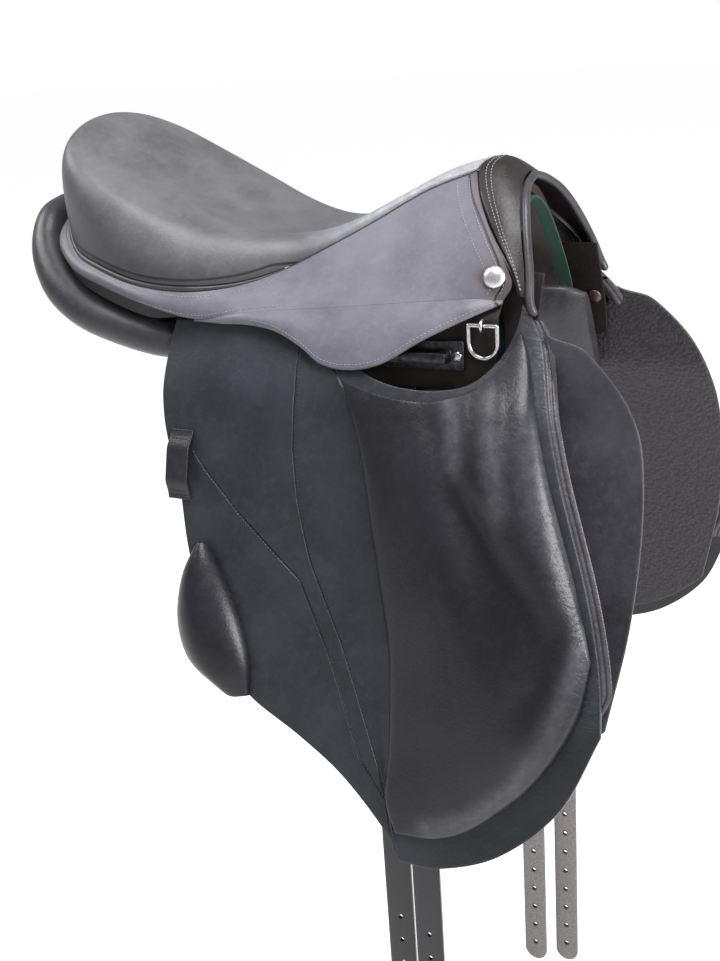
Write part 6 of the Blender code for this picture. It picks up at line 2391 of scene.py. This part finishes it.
@dataclass
class GirthStrap:
    """One girth strap with its punched holes."""

    side: Side
    word: str
    middle: float
    profile: tuple
    width: float = 26.0
    thickness: float = 3.6
    top: float = 16.0
    foot: float = -800.0
    hole_pitch: float = 25.4
    hole_diameter: float = 5.0
    hole_count: int = 12
    first_hole: float = 24.0

    def place(self, u: Array, v: Array, w: Array) -> Array:
        """Places of the strap; its faces are slightly crowned.

        Args:
            u: share across.
            v: share down.
            w: layer, 0 inner and 1 outer.

        Returns:
            Points of the strap.
        """
        end = self.width / 2 / (self.top - self.foot)
        down = np.interp(v, [0.0, 0.06, 0.94, 1.0], [0.0, end, 1.0 - end, 1.0])
        z = mix(self.top, self.foot, down)
        left = np.minimum(down, 1.0 - down) / end
        wide = np.where(left < 1.0, np.sqrt(np.clip(1.0 - (1.0 - left) ** 2, 0.0, 1.0) * 0.94 + 0.06), 1.0)
        slope = -(table(self.profile, z + 1.0) - table(self.profile, z - 1.0)) / 2.0
        half = self.thickness / 2 - 0.5 * (u * 2 - 1) ** 4
        base = stack(self.middle + (u - 0.5) * self.width * wide, -table(self.profile, z), z)
        return base + unit(stack(0.0, -1.0, slope)) * (half * (w * 2 - 1))[:, None]

    def punch(self, strap: bpy.types.Object) -> None:
        """Punch the holes with one cylinder copied down the strap.

        Args:
            strap: the whole strap.
        """
        deselect()
        radius, square = self.hole_diameter / 2 * MM, (math.pi / 2, 0.0, 0.0)
        bpy.ops.mesh.primitive_cylinder_add(vertices=24, radius=radius, depth=20 * MM, rotation=square)
        bpy.ops.object.transform_apply(location=True, rotation=True, scale=True)
        cutter = bpy.context.object
        base = read_spots(cutter)
        faces = [tuple(face.vertices) for face in cutter.data.polygons]
        spots, polygons = [], []
        for index in range(self.hole_count):
            z = self.foot + self.first_hole + self.hole_pitch * index
            y = float(table(self.profile, np.array([z]))[0]) * self.side.value
            spots.append(base + np.array([self.middle, y, z]) * MM)
            polygons.extend(tuple(corner + index * len(base) for corner in face) for face in faces)
        mesh = bpy.data.meshes.new("punch")
        mesh.from_pydata(np.vstack(spots).tolist(), [], polygons)
        cutter.data = mesh
        pick(strap)
        cut = strap.modifiers.new("holes", "BOOLEAN")
        cut.operation = "DIFFERENCE"
        cut.solver = "EXACT"
        cut.object = cutter
        bpy.ops.object.modifier_apply(modifier=cut.name)
        bpy.data.objects.remove(cutter, do_unlink=True)

    def build(self) -> None:
        """Build and dress the strap."""
        name = f"girth_strap_{self.word}_{self.side.word}"
        # Flesh side pale as painted light, face near black as painted shade
        rules = {"inner": lambda u, v, w, found: 1.0 - w}
        strap = plate(f"{name}.leather", self.place, 14, 210, self.side, bevel=0.8, marks=rules)
        self.punch(strap)
        smooth_shade(strap, 40.0)
        dress(strap, Finishes.STRAP, "strap_leather", name, name)


@dataclass
class Fittings:
    """Stirrup bar with its catch and rivets, and the dee ring with its staple."""

    side: Side
    bar_bevel: float = 0.8
    rivet_diameter: float = 8.0
    rivet_height: float = 1.8
    rivet_x: tuple = (("front", 154.5), ("rear", 69.5))
    ring_x: float = 176.0
    ring_y: float = 107.5
    ring_radius: float = 12.0
    ring_straight: float = 23.0
    ring_top: float = 37.0
    wire: float = 1.8
    staple_wire: float = 1.4
    staple_radius: float = 4.2

    def eased(self, node: str, finish: object, slot: str, body: str) -> None:
        """Copy a forged node and ease its edges.

        Args:
            node: name of the CAD node.
            finish: finish from Finishes.
            slot: material slot of the record.
            body: body that carries the piece.
        """
        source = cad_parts[node]
        deselect()
        piece = bpy.data.objects.new(f"{node}.steel", source.data.copy())
        bpy.context.scene.collection.objects.link(piece)
        close_shell(piece)
        soften_edges(piece, self.bar_bevel, 3, 30.0)
        smooth_shade(piece, 35.0)
        dress(piece, finish, slot, body, node)

    def build(self) -> None:
        """Build and dress the fittings."""
        word = self.side.word
        self.eased(f"stirrup_bar_{word}", Finishes.FORGED, "bar_steel", "saddle")
        self.eased(f"bar_catch_{word}", Finishes.FORGED, "bar_steel", f"bar_catch_{word}")
        for label, x in self.rivet_x:
            spot, outward = np.array([x, -110.14, 12.0]), np.array([0.0, -1.0, 0.0])
            place = dome_place(spot, outward, self.rivet_diameter, self.rivet_height, 0.2)
            rivet = loft(f"bar_rivet_{label}_{word}.nickel", place, 32, 28, self.side)
            dress(rivet, Finishes.RIVET, "rivet_nickel", "saddle", f"bar_rivet_{label}_{word}")
        half, turn = self.ring_radius, np.linspace(0.0, np.pi, 50)
        bow = stack(self.ring_x + half * np.cos(turn), -self.ring_y, self.ring_straight - half * np.sin(turn))
        top = stack(np.linspace(self.ring_x - half, self.ring_x + half, 12), -self.ring_y, self.ring_top)
        place = cord_place(np.vstack([top, bow]), self.wire, (0.0, 1.0, 0.0), ring=True)
        ring = loft(f"dee_ring_{word}.nickel", place, 16, 140, self.side, ring=True)
        dress(ring, Finishes.RING, "ring_nickel", f"dee_ring_{word}", f"dee_ring_{word}")
        lean, reach = np.linspace(-np.pi / 2, np.pi / 2, 40), self.staple_radius
        arc = stack(self.ring_x, -(self.ring_y + reach * np.cos(lean)), self.ring_top + reach * np.sin(lean))
        first, last = (stack(self.ring_x, -(lining_y(z) + 0.5), z + self.staple_wire) for z in (31.4, 39.8))
        place = cord_place(np.vstack([first, arc, last]), self.staple_wire, (1.0, 0.0, 0.0))
        staple = loft(f"ring_staple_{word}.nickel", place, 14, 60, self.side)
        dress(staple, Finishes.RING, "ring_nickel", "saddle", f"ring_staple_{word}")


# Stage


@dataclass
class Studio:
    """Camera, floor, world and soft lights."""

    azimuth: float = 29.00614
    elevation: float = 19.89859
    roll: float = -4.07435
    distance: float = 1236.192
    focal_pixels: float = 1299.357
    picture_width: int = 720
    target_across: float = -1.17308
    target_height: float = -147.4455
    sensor_width: float = 36.0
    lights: tuple = (
        ("overhead softbox", (0.25, -0.5, 1.8), 0.95, 44.0, (0.0, 0.0, 0.0)),
        ("front softbox", (1.65, -0.55, 0.4), 0.8, 42.0, (0.1, 0.0, -0.2)),
        ("rear softbox", (-1.35, -0.3, 1.2), 0.8, 16.0, (0.0, 0.0, 0.0)),
    )
    floor_height: float = -0.83
    fill: float = 0.2
    gloss_cut: float = -0.55
    floor_glow: float = 0.82

    def camera(self) -> None:
        """Place the camera where the photograph was taken."""
        a, e, roll = (math.radians(angle) for angle in (self.azimuth, self.elevation, self.roll))
        target = Vector((self.target_across * math.cos(a), self.target_across * math.sin(a), self.target_height))
        back = Vector((math.sin(a) * math.cos(e), -math.cos(a) * math.cos(e), math.sin(e)))
        right = Vector((math.cos(a), math.sin(a), 0.0))
        up = back.cross(right)
        level = right * math.cos(roll) + up * math.sin(roll)
        upright = up * math.cos(roll) - right * math.sin(roll)
        lens = bpy.data.cameras.new("camera")
        lens.sensor_fit = "HORIZONTAL"
        lens.sensor_width = self.sensor_width
        lens.lens = self.focal_pixels * self.sensor_width / self.picture_width
        lens.clip_start = 0.01
        seen = bpy.data.objects.new("camera", lens)
        bpy.context.scene.collection.objects.link(seen)
        turn = Matrix((level, upright, back)).transposed().to_4x4()
        seen.matrix_world = Matrix.Translation((target + back * self.distance) * MM) @ turn
        bpy.context.scene.camera = seen

    def light(self, name: str, place: tuple, size: float, power: float, aim: tuple) -> None:
        """Hang a soft square light.

        Args:
            name: name of the light.
            place: place in metres.
            size: edge of the square in metres.
            power: watts.
            aim: point that it faces.
        """
        lamp = bpy.data.lights.new(name, "AREA")
        lamp.size = size
        lamp.energy = power
        hung = bpy.data.objects.new(name, lamp)
        bpy.context.scene.collection.objects.link(hung)
        hung.location = place
        hung.rotation_euler = (Vector(aim) - Vector(place)).to_track_quat("-Z", "Y").to_euler()

    def seen_directly(self, graph: Graph) -> Socket:
        """Share that is 1 for rays from the camera, gloss or glass.

        Args:
            graph: nodes of the world or the floor.

        Returns:
            The share.
        """
        path = add_node(graph.tree, "ShaderNodeLightPath").outputs
        share = graph.math("MAXIMUM", path["Is Camera Ray"], path["Is Glossy Ray"])
        return graph.math("MAXIMUM", share, path["Is Transmission Ray"])

    def world(self) -> None:
        """Make the white backdrop and its weaker fill light."""
        world = bpy.data.worlds.new("studio")
        bpy.context.scene.world = world
        graph = Graph(world)
        strength = graph.spread(self.seen_directly(graph), (0.0, 1.0), (self.fill, 1.0))
        glossy = add_node(graph.tree, "ShaderNodeLightPath").outputs["Is Glossy Ray"]
        strength = graph.math("MAXIMUM", graph.math("MULTIPLY_ADD", glossy, self.gloss_cut, strength), self.fill)
        connect(graph.tree, graph.tree.nodes["Background"], {"Color": WHITE, "Strength": strength})

    def floor(self) -> None:
        """Lay a matt white floor that reads as white and keeps the shadow."""
        deselect()
        bpy.ops.mesh.primitive_plane_add(size=40.0, location=(0.0, 0.0, self.floor_height))
        bpy.ops.object.transform_apply(location=True)
        plane = bpy.context.object
        plane.name = "floor"
        graph = Graph(bpy.data.materials.new("matt white floor"))
        glow = graph.math("MULTIPLY", self.seen_directly(graph), self.floor_glow)
        inputs = {"Base Color": (0.8, 0.8, 0.8, 1.0), "Roughness": 0.9, "Specular IOR Level": 0.1,
                  "Emission Color": WHITE, "Emission Strength": glow}
        connect(graph.tree, graph.tree.nodes["Principled BSDF"], inputs)
        plane.data.materials.append(graph.owner)

    def build(self) -> None:
        """Build the stage."""
        self.camera()
        self.world()
        self.floor()
        for light in self.lights:
            self.light(*light)
        bpy.context.scene.view_settings.view_transform = "Standard"


def main() -> None:
    """Build the saddle and its stage."""
    logging.basicConfig(level=logging.INFO, format="%(name)s: %(message)s")
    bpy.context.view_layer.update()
    Studio().build()
    Tree().build()
    Seat().build()
    Pommel().build()
    Facing().build()
    for side in Side:
        Skirt(side).build()
        Flap(side).build()
        Underside(side).build()
        Fittings(side).build()
        GirthStrap(side, "front", 135.0, tuple(FRONT_STRAP_PROFILE)).build()
        GirthStrap(side, "rear", 101.0, tuple(REAR_STRAP_PROFILE)).build()


if __name__ == "__main__":
    main()
